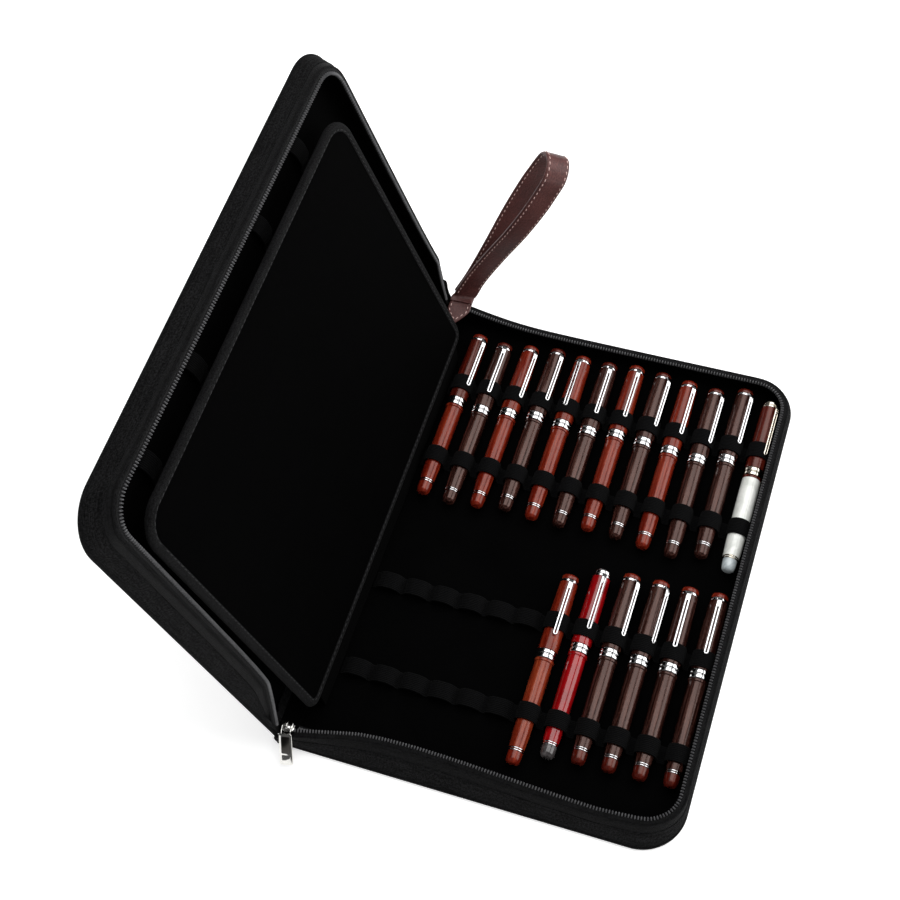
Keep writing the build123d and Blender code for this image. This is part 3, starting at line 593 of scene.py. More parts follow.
class Half:
    """The soft walls of one half: where its levels run, and what rides on them."""

    def __init__(self, name):
        self.name = name
        self.is_cover = name == "cover"
        self.place = COVER_PLACE if self.is_cover else LYING

    def level(self, share, out, z, start_x=None):
        """Points at a share of the wall's height, pushed outwards by out."""
        side, fore, end = (FOOT_INSET + (lean - FOOT_INSET) * share - out
                           for lean in (SIDE_LEAN, FORE_LEAN, SPINE_END_LEAN))
        radius = FORE_CORNER - FOOT_INSET + (TOP_CORNER + FOOT_INSET - FORE_CORNER) * share + out
        wave = 0.0 if self.is_cover else SWAY * share
        points = outline(side, fore, end, radius, z, start_x, wave)
        points[:, 2] *= wall_share(points[:, 0], self.name)
        return points

    def piece(self, shape, part, materials, slot, replaced=(), sharp=50):
        """Builds a piece of this half; part and replaced are names without the half's own."""
        nodes = [f"{self.name}_{node}" for node in replaced]
        shape.build(f"{self.name}_{part}", materials, self.name, slot, self.place, sharp, nodes)

    @staticmethod
    def inset_outline(inset, z, start_x=None):
        """The half's plan drawn in evenly all round."""
        return outline(inset, inset, inset, FORE_CORNER - inset, z, start_x)

    def wall(self):
        """Padded canvas wall between the two welts, with the zipper's darker band sewn along its top."""
        shares = np.linspace(0, 1, WALL_ROWS + 1)
        hem = WALL_FOOT * 0.7
        outer = [self.level(s, WALL_BULGE * math.sin(math.pi * s) ** 0.7 - 0.5 * MM * (s > 0.95),
                            hem + (WALL_TOP - hem) * s) for s in shares]
        inner = [self.level(s, -WALL_THICKNESS, WALL_FOOT + (WALL_TOP - 0.5 * MM - WALL_FOOT) * s)
                 for s in shares[::-2]]
        shape = Shape()
        shape.band(outer + inner)
        faces = len(outer[0]) - 1
        shape.marks[BAND_ROW * faces:WALL_ROWS * faces] = [1] * (WALL_ROWS - BAND_ROW) * faces
        share = shares[BAND_ROW]
        seam = self.level(share, 0.7 * MM, hem + (WALL_TOP - hem) * share)
        shape.band(swept(seam, (0, 0, 1), circle_section(0.55 * MM, 8)))
        self.piece(shape, "canvas_wall", [CANVAS, TAPE_CLOTH], "case_canvas", ["side_gusset"])

    def welts(self):
        """Round welts at the foot and at the top of the wall."""
        shape = Shape()
        centre = WELT_RADIUS * 1.02
        shape.band([self.inset_outline(centre - s, centre + n)
                    for s, n in circle_section(WELT_RADIUS, 14)])
        self.piece(shape, "foot_welt", [WELT_CLOTH], "edge_piping", ["edge_piping"])
        shape = Shape()
        shape.band([self.level(1, 0.1 * MM + s, WALL_TOP - 0.5 * MM + n)
                    for s, n in circle_section(TOP_WELT_RADIUS, 12)])
        self.piece(shape, "top_welt", [WELT_CLOTH], "edge_piping")

    def tape(self):
        """Zipper tape sewn inside the top welt, sagging a little towards its free edge."""
        top = [(0.4, 0.75), (1.2, 0.85), (2.2, 0.8), (3.4, 0.75), (4.45, 0.7)]
        section = [(-x * MM, WALL_TOP + z * MM) for x, z in top]
        section += [(out, z - 0.7 * MM) for out, z in reversed(section)]
        shape = Shape()
        start = None if self.is_cover else ROW_START_X
        shape.band([self.level(1, out, z, start) for out, z in section])
        cord = self.row_path(-(TAPE_WIDTH - TEETH_WIDTH) + 0.5 * MM, TAPE_THICKNESS)
        shape.band(swept(cord, (0, 0, 1), circle_section(PIPING_CORD, 8)))
        self.piece(shape, "zipper_tape_cloth", [TAPE_CLOTH], "zipper_tape", ["zipper_tape"])

    def row_path(self, out, lift):
        """Line on the zipper row, from its start at the near spine end."""
        start = RAMP_START[0] if self.is_cover else ROW_START_X
        return self.level(1, out, WALL_TOP + lift, start)

    def teeth(self):
        """Separate teeth along the tape's free edge."""
        path = self.row_path(-(TAPE_WIDTH - TEETH_WIDTH / 2), TAPE_THICKNESS)
        path = resample(path, int(lengths(path)[-1] / TEETH_PITCH))
        shape = Shape()
        for p, t, s, n in zip(path, *frames_along(path, (0, 0, 1))):
            arches = []
            for across, width, height in TOOTH:
                middle = p + across * TEETH_WIDTH / 2 * s
                arches.append([middle + x * width * TEETH_PITCH * t + z * height * TEETH_HEIGHT * n
                               for x, z in TOOTH_ARCH])
            shape.stack(arches)
        self.piece(shape, "coil_teeth", [COIL], "zipper_coil", ["zipper_teeth"], 40)

    def panel(self):
        """Canvas face of the half: flat underneath, softened towards its edges."""
        inset = WELT_RADIUS * 1.4
        rings = [(inset + 6 * MM, PANEL_TOP), (inset, PANEL_TOP), (inset - 0.3 * MM, PANEL_TOP * 0.6),
                 (inset, 0.2 * MM), (inset + 0.9 * MM, 0), (inset + 9 * MM, 0)]
        shape = Shape()
        shape.stack([self.inset_outline(i, z) for i, z in rings], flat=True)
        self.piece(shape, "canvas_face", [CANVAS], "case_canvas", ["canvas_panel"], 60)

    def lining(self):
        """Velvet floor, and velvet facing that rises behind the wall to the tape."""
        start_x = -HALF_WIDTH + 14 * MM if self.is_cover else LINING_LOW.x
        floor = floor_grid(self.inset_outline(2.6 * MM, LINING_HIGH.z, start_x), LINING_HIGH.z)
        low = floor.copy()
        low[:, :, 2] = 3.45 * MM
        shape = Shape()
        shape.grid(floor)
        shape.grid(low[:, ::-1])
        rim = [np.concatenate([g[0], g[1:, -1], g[-1, -2::-1], g[-2:0:-1, 0]]) for g in (floor, low)]
        shape.grid(rim, close_columns=True)
        self.piece(shape, "velvet_floor", [VELVET], "velvet_lining", ["velvet_lining"])
        shape = Shape()
        rise = WALL_TOP - 0.4 * MM - LINING_HIGH.z
        front, back = ([self.level(share, (bow + thick) * MM, LINING_HIGH.z + rise * share)
                        for share, bow in FACING] for thick in (0, 0.5))
        shape.band(front + back[::-1])
        self.piece(shape, "velvet_facing", [VELVET], "velvet_lining")

    def strip(self, strip):
        """One elastic strip, its loops stretched over pens or lying low, sewn down between them."""
        low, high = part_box(f"{self.name}_{strip}_strip")
        middle = (low.y + high.y) / 2 * (-1 if self.is_cover else 1)
        line = self.loop_line(strip)
        line = np.vstack([line[:1], (line[1:-1] + line[2:]) / 2, line[-1:]])
        step = unit_steps(line)
        outward = np.stack([-step[:, 1], step[:, 0]], axis=1)
        across = np.array([-1, -0.96, -0.86, -0.6, -0.3, 0, 0.3, 0.6, 0.86, 0.96, 1])
        rows = []
        for face in (1, -1):
            for v in across * face:
                half = ELASTIC / 2 * (1 - 0.55 * abs(v) ** 12)
                x, z = (line + outward * (face * half + 0.12 * MM * (1 - v * v))).T
                rows.append(np.stack([x, np.full(len(x), middle + v * (high.y - low.y) / 2), z], axis=1))
        shape = Shape()
        shape.band(rows)
        self.piece(shape, f"{strip}_elastic", [WEBBING], "elastic_webbing", [f"{strip}_strip"])

    def loop_line(self, strip):
        """Middle line (x, z) of a strip, loop by loop."""
        floor = LINING_HIGH.z + ELASTIC / 2
        kind = strip.split("_")[1]
        points = []
        for slot in range(SLOTS):
            x = FIRST_SLOT_X + slot * PEN_PITCH
            if self.is_cover:
                points += low_loop(x, COVER_LOOP, floor, slot)
            elif strip.startswith("lower") and slot < EMPTY_LOWER_SLOTS:
                points += low_loop(x, EMPTY_LOOP, floor, slot)
            else:
                points += pen_loop(x, LOOP_RADIUS[kind] + ELASTIC / 2, floor)
        first, last = points[0], points[-1]
        return np.array([(first[0] - 2.4 * MM, floor)] + points + [(last[0] + 2.4 * MM, floor)])


def floor_grid(loop, z, count=48):
    """Rows of points across the plan inside a loop, from its near side to its far side."""
    middle = len(loop) // 2
    near, far = loop[:middle + 1], loop[middle:][::-1]
    steps = np.linspace(0, 1, count)[:, None, None]
    grid = near[None] * (1 - steps) + far[None] * steps
    edge = np.minimum(steps[:, :, 0], 1 - steps[:, :, 0]) * 4
    swell = 1 + np.sin(grid[:, :, 0] * 70) * np.sin(grid[:, :, 1] * 55)
    puff = np.clip(edge, 0, 1) * FLOOR_PUFF * swell
    grid[:, :, 2] = z + puff
    return grid[:, :-1]


def pen_loop(x, radius, floor):
    """Loop hugging a pen: up one side, over, and down the other, with a soft foot on each side."""
    points = [(x - radius - 1.3 * MM, floor), (x - radius - 0.35 * MM, floor + 0.35 * MM),
              (x - radius, floor + 1.4 * MM)]
    for angle in np.linspace(180, 0, 25):
        a = math.radians(angle)
        points.append((x + radius * math.cos(a), PEN_AXIS_Z + radius * math.sin(a)))
    points += [(2 * x - px, pz) for px, pz in reversed(points[:3])]
    return points


def low_loop(x, size, floor, slot):
    """Empty loop: a low arch of some half width and rise, each one sagging a little differently."""
    half, rise = size[0] + ELASTIC / 2, size[1]
    sag = 0.10 * math.sin(2.4 * slot + 0.6)
    points = []
    for angle in np.linspace(176, 4, 19):
        a = math.radians(angle)
        lift = math.sin(a) ** 0.8 * (1 - 0.07 * math.cos(2 * a) + sag * math.cos(a) * math.sin(a))
        points.append((x + half * math.cos(a), floor + rise * min(lift, 1.0)))
    return points


# ---- spine ----
def bent_sheet(name, line, thickness, half_length, material, slot, replaced, ends, ripple):
    """Cloth from the base to the cover: a line (x, z) in millimetres carried along Y.

    Its two ends roll inwards by a share of their distance from the hinge, and it ripples along Y.
    """
    line = smooth_path(np.array(line) * MM, 40)
    step = unit_steps(line)
    inward = np.stack([step[:, 1], -step[:, 0]], axis=1)
    pivot = np.array(JOINTS["cover_fold"]["pos_m"])[[0, 2]]
    swell = np.sin(np.linspace(0, math.pi, len(line)))[:, None]
    stations = [np.linspace(-1, -0.95, 6), np.linspace(-0.93, 0.93, 60), np.linspace(0.95, 1, 6)]
    rings = []
    for v in np.concatenate(stations):
        roll = max(0.0, (abs(v) - 0.95) / 0.05) ** 2 * ends
        wave = ripple * (math.sin(v * 17) + 0.6 * math.sin(v * 41 + 1))
        outer = pivot + (line - pivot) * (1 - roll) - inward * swell * wave
        x, z = np.concatenate([outer, (outer + inward * thickness)[::-1]]).T
        rings.append(np.stack([x, np.full(len(x), v * half_length), z], axis=1))
    shape = Shape()
    shape.stack(rings)
    return shape.build(name, [material], None, slot, stands_for=replaced)


def spine():
    """Outer canvas of the spine, bulging behind the cover's foot, and the velvet gutter inside it."""
    outer = [(-133.2, 0.75), (-135.8, 0.9), (-139.3, 4.5), (-142.2, 12), (-144.3, 20), (-145.6, 29),
             (-145.9, 38), (-145.2, 46), (-145.0, 52), (-146.0, 56.5)]
    cloth = bent_sheet("spine_cloth", outer, 1.3 * MM, 178.5 * MM, CANVAS, "case_canvas",
                       ["spine_canvas", "cover_spine_flap"], 0.55, 0.35 * MM)
    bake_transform(cloth)
    inner = [(-124.0, 3.7), (-130, 4.4), (-136.5, 8.5), (-140.0, 15), (-140.6, 22), (-138.0, 28),
             (-134.9, 33.5)]
    gutter = bent_sheet("spine_gutter", inner, 0.6 * MM, 168 * MM, VELVET, "velvet_lining", (),
                        0.2, 0.2 * MM)
    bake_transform(gutter)


# ---- divider ----
LEAF_HINGE = Vector(JOINTS["divider_turn"]["pos_m"])
LEAF_LENGTH = (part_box("divider_bound_edge")[0].y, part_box("divider_bound_edge")[1].y)
LEAF_WIDTH = 236 * MM
LEAF_START = LEAF_HINGE.x + 2 * MM
LEAF_CORNER = 22 * MM
LEAF_FOOT_CORNER = 10 * MM
BINDING_WIDTH = 6 * MM
BINDING_HALF = 2.5 * MM


def leaf_outline(inset, z):
    """Closed plan of the divider lying level, drawn in from its edges."""
    low = (LEAF_START + inset, LEAF_LENGTH[0] + inset)
    high = (LEAF_START + LEAF_WIDTH - inset, LEAF_LENGTH[1] - inset)
    corners = [(high[0], low[1], LEAF_CORNER, 270), (high[0], high[1], LEAF_CORNER, 0),
               (low[0], high[1], LEAF_FOOT_CORNER, 90), (low[0], low[1], LEAF_FOOT_CORNER, 180)]
    stops = []
    for x, y, radius, start in corners:
        radius = max(radius - inset, 0.5 * MM)
        cx = x - radius if x == high[0] else x + radius
        cy = y - radius if y == high[1] else y + radius
        for a in np.radians(np.linspace(start, start + 90, 14)):
            stops.append((cx + radius * math.cos(a), cy + radius * math.sin(a)))
    sides = []
    for k, (point, following) in enumerate(zip(stops, stops[1:] + stops[:1]), start=1):
        sides.append(np.linspace(point, following, 1 if k % 14 else 44, endpoint=False))
    plan = np.vstack(sides)
    return np.column_stack([plan, np.full(len(plan), LEAF_HINGE.z) + z])


def divider():
    """Padded velvet leaf, and its folded binding with a seam along both faces."""
    inset = BINDING_WIDTH - 1.2 * MM
    swell = [(0, 1.75), (2, 1.95), (8, 2.05), (22, 2.1), (50, 2.12), (82, 2.14), (112, 2.14)]
    faces = [(i, h) for i, h in reversed(swell)] + [(i, -h) for i, h in swell]
    shape = Shape()
    shape.stack([leaf_outline(inset + i * MM, h * MM) for i, h in faces], flat=True)
    leaf = shape.build("divider_leaf", [LEAF_VELVET], "divider", "velvet_lining", LEAF_PLACE,
                       stands_for=["divider_base_side_pad", "divider_cover_side_pad"])
    fold = [(6.0, 2.15), (5.2, 2.42), (3.6, 2.6), (1.9, 2.5), (0.7, 1.7), (0.1, 0.6)]
    section = fold + [(i, -z) for i, z in reversed(fold)] + [(5.6, -1.2), (5.6, 1.2)]
    shape = Shape()
    shape.grid([leaf_outline(i * MM, z / 2.6 * BINDING_HALF) for i, z in section],
               close_rows=True, close_columns=True)
    shape.build("divider_binding", [WELT_CLOTH], "divider", "edge_piping", LEAF_PLACE, 70,
                ["divider_bound_edge"])
    shape = Shape()
    for face in (1, -1):
        seam = leaf_outline(4.9 * MM, face * 2.42 * MM)
        add_stitches(shape, seam, (0, 0, face), 3.0 * MM, 1.2 * MM, 0.25 * MM)
    shape.build("divider_seam", [BLACK_THREAD], "divider", "edge_piping", LEAF_PLACE)


def hinge_cloth():
    """Velvet strip from the tray floor up to the divider's foot."""
    low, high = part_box("divider_hinge_strip")
    x = (low.x + high.x) / 2
    line = smooth_path([(x - 7 * MM, LINING_HIGH.z + 0.4 * MM), (x - 3 * MM, LINING_HIGH.z + 0.5 * MM),
                        (x - 0.4 * MM, LINING_HIGH.z + 2.5 * MM), (x + 0.1 * MM, 12 * MM),
                        (x - 0.2 * MM, 19 * MM), (x - 0.3 * MM, 24.5 * MM)], 24)
    swell = np.sin(np.linspace(0, math.pi, len(line)))
    rings = []
    for y in np.linspace(low.y, high.y, 70):
        front = line + np.outer(0.25 * MM * math.sin(y * 90) * swell, (1, 0))
        along, up = np.vstack([front, front[::-1] + (0.9 * MM, 0.3 * MM)]).T
        rings.append(np.stack([along, np.full(len(along), y), up], axis=1))
    shape = Shape()
    shape.stack(rings)
    cloth = shape.build("divider_hinge_cloth", [VELVET], None, "velvet_lining",
                        stands_for=["divider_hinge_strip"])
    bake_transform(cloth)


# ---- wrist strap ----
STRAP_ROOT = Vector(JOINTS["strap_swing"]["pos_m"])
STRAP_ACROSS = (STRAP_WIDTH_HINT - STRAP_ALONG * STRAP_WIDTH_HINT.dot(STRAP_ALONG)).normalized()
STRAP_FACE = STRAP_ALONG.cross(STRAP_ACROSS)
# Stitches in leather: length, gap and thread radius; how far their rows are off the middle.
LEATHER_STITCH = (2.5 * MM, 1.7 * MM, 0.36 * MM)
STITCH_LINE = 6.6 * MM
STITCH_LIFT = STRAP_THICKNESS * 0.4 + 0.12 * MM


def strap_point(along, face):
    """Point at a distance along the strap from its root, and off its middle plane."""
    return np.array(STRAP_ROOT + STRAP_ALONG * along + STRAP_FACE * face)


def strap_line():
    """Middle line of the strap's loop: up one leg, round the end, and down the other."""
    radius = STRAP_LOOP_RADIUS - STRAP_THICKNESS / 2
    tip = STRAP_REACH - STRAP_LOOP_RADIUS
    root = STRAP_THICKNESS / 2
    leg = [(0.014 * tip, root), (0.18 * tip, root * 1.05), (0.40 * tip, 0.38 * radius),
           (0.62 * tip, 0.76 * radius), (0.82 * tip, 0.93 * radius), (0.94 * tip, 0.90 * radius)]
    bend = [(tip + radius * math.cos(a), 0.86 * radius * math.sin(a))
            for a in np.radians(np.linspace(75, -75, 9))]
    line = leg + bend + [(x, -y) for x, y in reversed(leg)]
    return smooth_path([strap_point(*p) for p in line], 150)


def ribbon(line, across, section):
    """Rows of a strap's section carried along a line, its width kept along across."""
    face = np.cross(unit_steps(line), across)
    face /= np.linalg.norm(face, axis=1)[:, None]
    return [line + s * across + n * face for s, n in section]


def wrist_strap():
    """Leather strap folded into a loop, with a row of stitches along both edges of both faces."""
    line = strap_line()
    across = np.array(STRAP_ACROSS)
    shape = Shape()
    shape.band(ribbon(line, across, band_section(STRAP_WIDTH, STRAP_THICKNESS * 0.8, 0.22 * MM)))
    shape.build("wrist_strap_leather", [LEATHER], "strap", "strap_leather", stands_for=["wrist_strap"])
    shape = Shape()
    face = np.cross(unit_steps(line), across)
    for edge in (-1, 1):
        for side in (-1, 1):
            row = line + edge * STITCH_LINE * across + side * STITCH_LIFT * face
            add_surface_stitches(shape, row, side * face)
    shape.build("wrist_strap_stitches", [LEATHER_THREAD], "strap", "strap_leather")


def add_surface_stitches(shape, row, ups):
    """Stitches on a curved face, whose outward direction is given at every point."""
    length, gap, radius = LEATHER_STITCH
    run = lengths(row)
    count = int(run[-1] / (length + gap))

    def along(values, where):
        return np.stack([np.interp(where, run, values[:, k]) for k in range(3)], axis=1)
    at = (np.arange(count) + 0.5) * run[-1] / count
    for place, up in zip(at, along(ups, at)):
        ends = along(row, place + length * np.array([-0.5, 0, 0.5]))
        add_stitches(shape, ends, up, length, 0.0, radius)


def strap_anchor():
    """Pointed leather tab sewn down over the spine's far end, and the root that bends up from it."""
    low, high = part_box("strap_anchor")
    x, z = (low.x + high.x) / 2, (low.z + high.z) / 2
    half = (high.x - low.x) / 2
    rings = []
    for t in np.linspace(0, 1, 30):
        y = high.y + 3.5 * MM + (low.y - high.y - 3.5 * MM) * t
        point = max(0.0, (t - 0.48) / 0.52)
        wide = half * max(1 - point ** 1.35, 0.09)
        section = band_section(2 * wide, (high.z - low.z) * 0.9, 0.15 * MM)
        rings.append([(x + s, y, z + n) for s, n in section])
    shape = Shape()
    shape.stack(rings)
    shape.build("strap_anchor_tab", [LEATHER], "base", "strap_leather", stands_for=["strap_anchor"])
    shape = Shape()
    top = high.z + 0.12 * MM
    edge = half - 2 * MM
    shoulder = (low.y + high.y) / 2
    row = np.array([(x - edge, high.y, top), (x - edge, shoulder, top), (x, low.y + 3.2 * MM, top),
                    (x + edge, shoulder, top), (x + edge, high.y, top)])
    add_stitches(shape, resample(row, 60), (0, 0, 1), *LEATHER_STITCH)
    shape.build("strap_anchor_stitches", [LEATHER_THREAD], "base", "strap_leather")
    strap_root(x, high.y, z)


def strap_root(x, y, z):
    """Short doubled band from the tab up round the joined legs of the strap."""
    line = smooth_path([(x, y - 3 * MM, z + 1.6 * MM), (x, y + 1 * MM, z + 1.8 * MM),
                        strap_point(3.5 * MM, -2.0 * MM), strap_point(13 * MM, -1.3 * MM)], 20)
    share = np.linspace(0, 1, len(line))[:, None] ** 1.5
    across = (1 - share) * (1.0, 0, 0) + share * np.array(STRAP_ACROSS)
    shape = Shape()
    shape.band(ribbon(line, across, band_section(STRAP_WIDTH, 1.3 * MM, 0.15 * MM)))
    root = shape.build("strap_root_band", [LEATHER], None, "strap_leather")
    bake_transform(root)


# ---- zipper slider ----
SLIDER_LENGTH = 8 * MM
SLIDER_WIDTH = 7 * MM
SLIDER_PLATE = 1.1 * MM
SLIDER_CROWN = 2.1 * MM
# The side flanges: length, width, height, and how far off the middle they stand.
FLANGE = (5 * MM, 0.75 * MM, 1.3 * MM)
FLANGE_Y = 3.1 * MM
BAIL_REACH = 5.4 * MM
BAIL_HALF = 3.0 * MM
BAIL_WIRE = 0.5 * MM
PULL_LENGTH = 24 * MM
PULL_WIDTH = 8.6 * MM
PULL_HALF = 0.7 * MM
PULL_HANG = 52
# Raised panels of the pull: material mark, middle and length.
PULL_PANELS = ((1, -3.4 * MM, 13.0 * MM), (0, 7.5 * MM, 6.4 * MM))


def slider_matrix():
    """Place of the slider: +X along its row, +Z out of its top plate, origin at the pull's pin."""
    along = Vector(JOINTS["slider_travel"]["axis"]).normalized()
    up = Vector((0, 0, 1))
    rotation = Matrix((along, up.cross(along), up)).transposed().to_4x4()
    return Matrix.Translation(Vector(JOINTS["pull_tab_swing"]["pos_m"])) @ rotation


def rounded_plate(length, width, low, high, corner, taper=0.0, bevel=0.25 * MM):
    """Rings of a rounded plate with softened edges; taper narrows its +X end."""
    rings = []
    for inset, z in ((bevel, low), (0, low + bevel), (0, high - bevel), (bevel, high)):
        ring = []
        for cx, cy, start in ((1, 1, 0), (-1, 1, 90), (-1, -1, 180), (1, -1, 270)):
            for a in np.radians(np.linspace(start, start + 90, 8)):
                x = cx * (length / 2 - corner) + (corner - inset) * math.cos(a)
                y = cy * (width / 2 - corner) + (corner - inset) * math.sin(a)
                ring.append((x, y * (1 - taper * (x / length + 0.5)), z))
        rings.append(ring)
    return np.array(rings)


def slider(place):
    """Slider body: two plates with flanges and a neck between them, and a domed crown."""
    low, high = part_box("zipper_slider")
    pin = place.translation.z
    bottom, top = low.z - pin, high.z - pin
    plate_top = top - SLIDER_CROWN
    shape = Shape()
    for start in (plate_top - SLIDER_PLATE, bottom):
        shape.stack(rounded_plate(SLIDER_LENGTH, SLIDER_WIDTH, start, start + SLIDER_PLATE,
                                  2.2 * MM, 0.12))
    for side in (-1, 1):
        for start in (bottom + 0.9 * MM, plate_top - 2.2 * MM):
            flange = rounded_plate(*FLANGE[:2], start, start + FLANGE[2], 0.3 * MM)
            shape.stack(flange + (0, side * FLANGE_Y, 0))
    neck = rounded_plate(2.6 * MM, 1.4 * MM, bottom + 0.6 * MM, plate_top - 0.6 * MM, 0.5 * MM)
    shape.stack(neck + (-2.4 * MM, 1.05 * MM, 0))
    half = [(0, 2.3 * MM, plate_top - 0.3 * MM), (0, 2.3 * MM, plate_top + 0.9 * MM),
            (0, 1.3 * MM, top - 0.45 * MM)]
    crown = smooth_path([(x, -y, z) for x, y, z in half] + half[::-1], 30)
    shape.band(swept(crown, (1, 0, 0), band_section(0.8 * MM, 1.3 * MM, 0.05 * MM)))
    shape.build("zipper_slider_body", [NICKEL], "slider", "nickel_hardware", place,
                stands_for=["zipper_slider"])


def pull(place):
    """Wire bail, and the nickel plate that hangs from it with two raised panels on each face."""
    leg = [(BAIL_HALF * 0.8, -BAIL_REACH - 1.2 * MM, -0.9 * MM), (BAIL_HALF, -BAIL_REACH + 0.6 * MM, 0),
           (BAIL_HALF, -1.2 * MM, 0), (BAIL_HALF - 0.9 * MM, 0, 0)]
    line = smooth_path([(-x, y, z) for x, y, z in leg] + leg[::-1], 60)
    shape = Shape()
    shape.band(swept(line, (0, 0.02, 1), circle_section(BAIL_WIRE, 12)))
    shape.build("pull_wire", [NICKEL], "pull", "nickel_hardware", place, stands_for=["pull_bail"])
    hang = (place @ Matrix.Translation((0, -BAIL_REACH - 0.5 * MM, -0.3 * MM))
            @ Matrix.Rotation(math.radians(PULL_HANG), 4, "X")
            @ Matrix.Translation((0, -PULL_LENGTH / 2, 0)) @ Matrix.Rotation(math.radians(-90), 4, "Z"))
    shape = Shape()
    shape.stack(rounded_plate(PULL_LENGTH, PULL_WIDTH, -PULL_HALF, PULL_HALF, 1.6 * MM, -0.06, 0.3 * MM))
    for face in (-1, 1):
        for mark, middle, length in PULL_PANELS:
            raised = rounded_plate(length, 6.0 * MM, 0.55 * MM, 0.98 * MM, 1.0 * MM, 0.0, 0.22 * MM)
            shape.stack(raised * (1, 1, face) + (middle, 0, 0), mark)
    shape.build("pull_plate", [NICKEL, SMOKED_NICKEL], "pull", "nickel_hardware", hang,
                stands_for=["pull_tab"])


def zipper_tail():
    """Closed end of the zipper, folded in beside the slider: tape with the joined coil on it."""
    low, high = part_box("zipper_tail")
    length = high.x - low.x
    y = (low.y + high.y) / 2
    section = band_section(high.y - low.y, 0.7 * MM, 0.05 * MM)
    rings = []
    for t in np.linspace(0, 1, 16):
        z = low.z + 0.8 * MM - 0.5 * MM * math.sin(t * 2.2) ** 2
        rings.append([(low.x + t * length, y + s, z + n) for s, n in section])
    shape = Shape()
    shape.stack(rings)
    shape.build("tail_tape", [TAPE_CLOTH], "base", "zipper_tape", stands_for=["zipper_tail"])
    shape = Shape()
    for k in range(int(length / (1.1 * MM))):
        turn = np.array([(-0.25, -1.3, 1.3), (0, 0, 1.7), (0.25, 1.3, 1.3)]) * MM
        turn += (low.x + 0.8 * MM + k * 1.05 * MM, y, low.z)
        shape.band(swept(smooth_path(turn, 7), (1, 0, 0.01), circle_section(0.38 * MM, 8)))
    shape.build("tail_coil", [COIL], "base", "zipper_coil")


# ---- pens ----
# Distances from the tail end, and radii, in millimetres.
TAIL_RING, COLLAR, BAND, BAND_END, CAP_END, TOP_RING, PEN_LENGTH = 8.5, 72, 74, 80.5, 131.5, 133.5, 138
CLIP_HALF = 1.05
CLIP_LINE = [(8.6, 92.2), (8.75, 96.0), (8.85, 104.0), (8.95, 115.0), (9.0, 126.0), (8.9, 129.0)]

# A pen's materials, in the order of its marks.
BARREL, CAP, FINIAL, TRIM, TAIL = range(5)
ORANGE_PEN = (ORANGE_WOOD, ORANGE_WOOD, ORANGE_WOOD, CHROME, ORANGE_WOOD)
TWO_TONE_PEN = (ORANGE_WOOD, RED_BROWN_WOOD, ORANGE_WOOD, CHROME, ORANGE_WOOD)
DARK_PEN = (DARK_WOOD, DARK_WOOD, RED_BROWN_WOOD, CHROME, DARK_WOOD)
IVORY_PEN = (IVORY, RED_BROWN_WOOD, WARM_METAL, WARM_METAL, PALE_RESIN)
TAN_PEN = (TAN_WOOD, ORANGE_WOOD, ORANGE_WOOD, CHROME, ORANGE_WOOD)
RED_PEN = (RED_LACQUER, RED_LACQUER, CHROME, CHROME, SMOKE_RESIN)
ORANGE_TOP_PEN = (DARK_WOOD, DARK_WOOD, ORANGE_WOOD, CHROME, RED_BROWN_WOOD)
PEN_LOOKS = ([TWO_TONE_PEN] + [DARK_PEN, ORANGE_PEN] * 4 + [DARK_PEN] * 2 + [IVORY_PEN, TAN_PEN, RED_PEN]
             + [ORANGE_TOP_PEN] * 4)


def add_turned(shape, profile, mark, segments=44):
    """Solid of revolution about +Y from (radius, distance) points in millimetres."""
    angles = np.linspace(0, 2 * math.pi, segments, endpoint=False)
    rows = [[(r * MM * math.sin(a), y * MM, r * MM * math.cos(a)) for a in angles] for r, y in profile]
    shape.stack(rows, mark)


def spool(radius, start, end):
    """Profile of a plain ring between two distances."""
    return [(1.0, start), (radius, start), (radius, end), (1.0, end)]


def bead(radius, start, end):
    """Profile of a rounded ring between two distances."""
    middle, half = (start + end) / 2, (end - start) / 2
    arc = [(radius - 0.3 + 0.3 * math.sin(a), middle - half * math.cos(a))
           for a in np.linspace(0, math.pi, 7)]
    return [(1.0, start)] + arc + [(1.0, end)]


def add_clip(shape, turn, mark):
    """Folded spring clip: a hairpin of two rails, and a tongue that curls down into the cap ring."""
    tip_r, tip_y = CLIP_LINE[0]
    rails = [(-CLIP_HALF, y, r) for r, y in CLIP_LINE[::-1]]
    rails += [(CLIP_HALF * math.sin(a), tip_y - CLIP_HALF * math.cos(a), tip_r)
              for a in np.radians((-60, -30, 0, 30, 60))]
    rails += [(CLIP_HALF, y, r) for r, y in CLIP_LINE]
    tongue = [(0, 125.5, 9.0), (0, 129.0, 8.85), (0, 131.4, 8.3), (0, 132.7, 7.4), (0, 133.0, 6.6)]
    spin = np.array(Matrix.Rotation(math.radians(-turn), 3, "Y"))
    for line, count, width, steps in ((rails, 110, 1.3, 6), (tongue, 20, 2 * CLIP_HALF + 1.2, 8)):
        section = band_section(width, 0.75, 0.08, steps)
        rows = swept(smooth_path(line, count), (0, 0, 1), section)
        shape.band([row @ spin * MM for row in rows], mark)


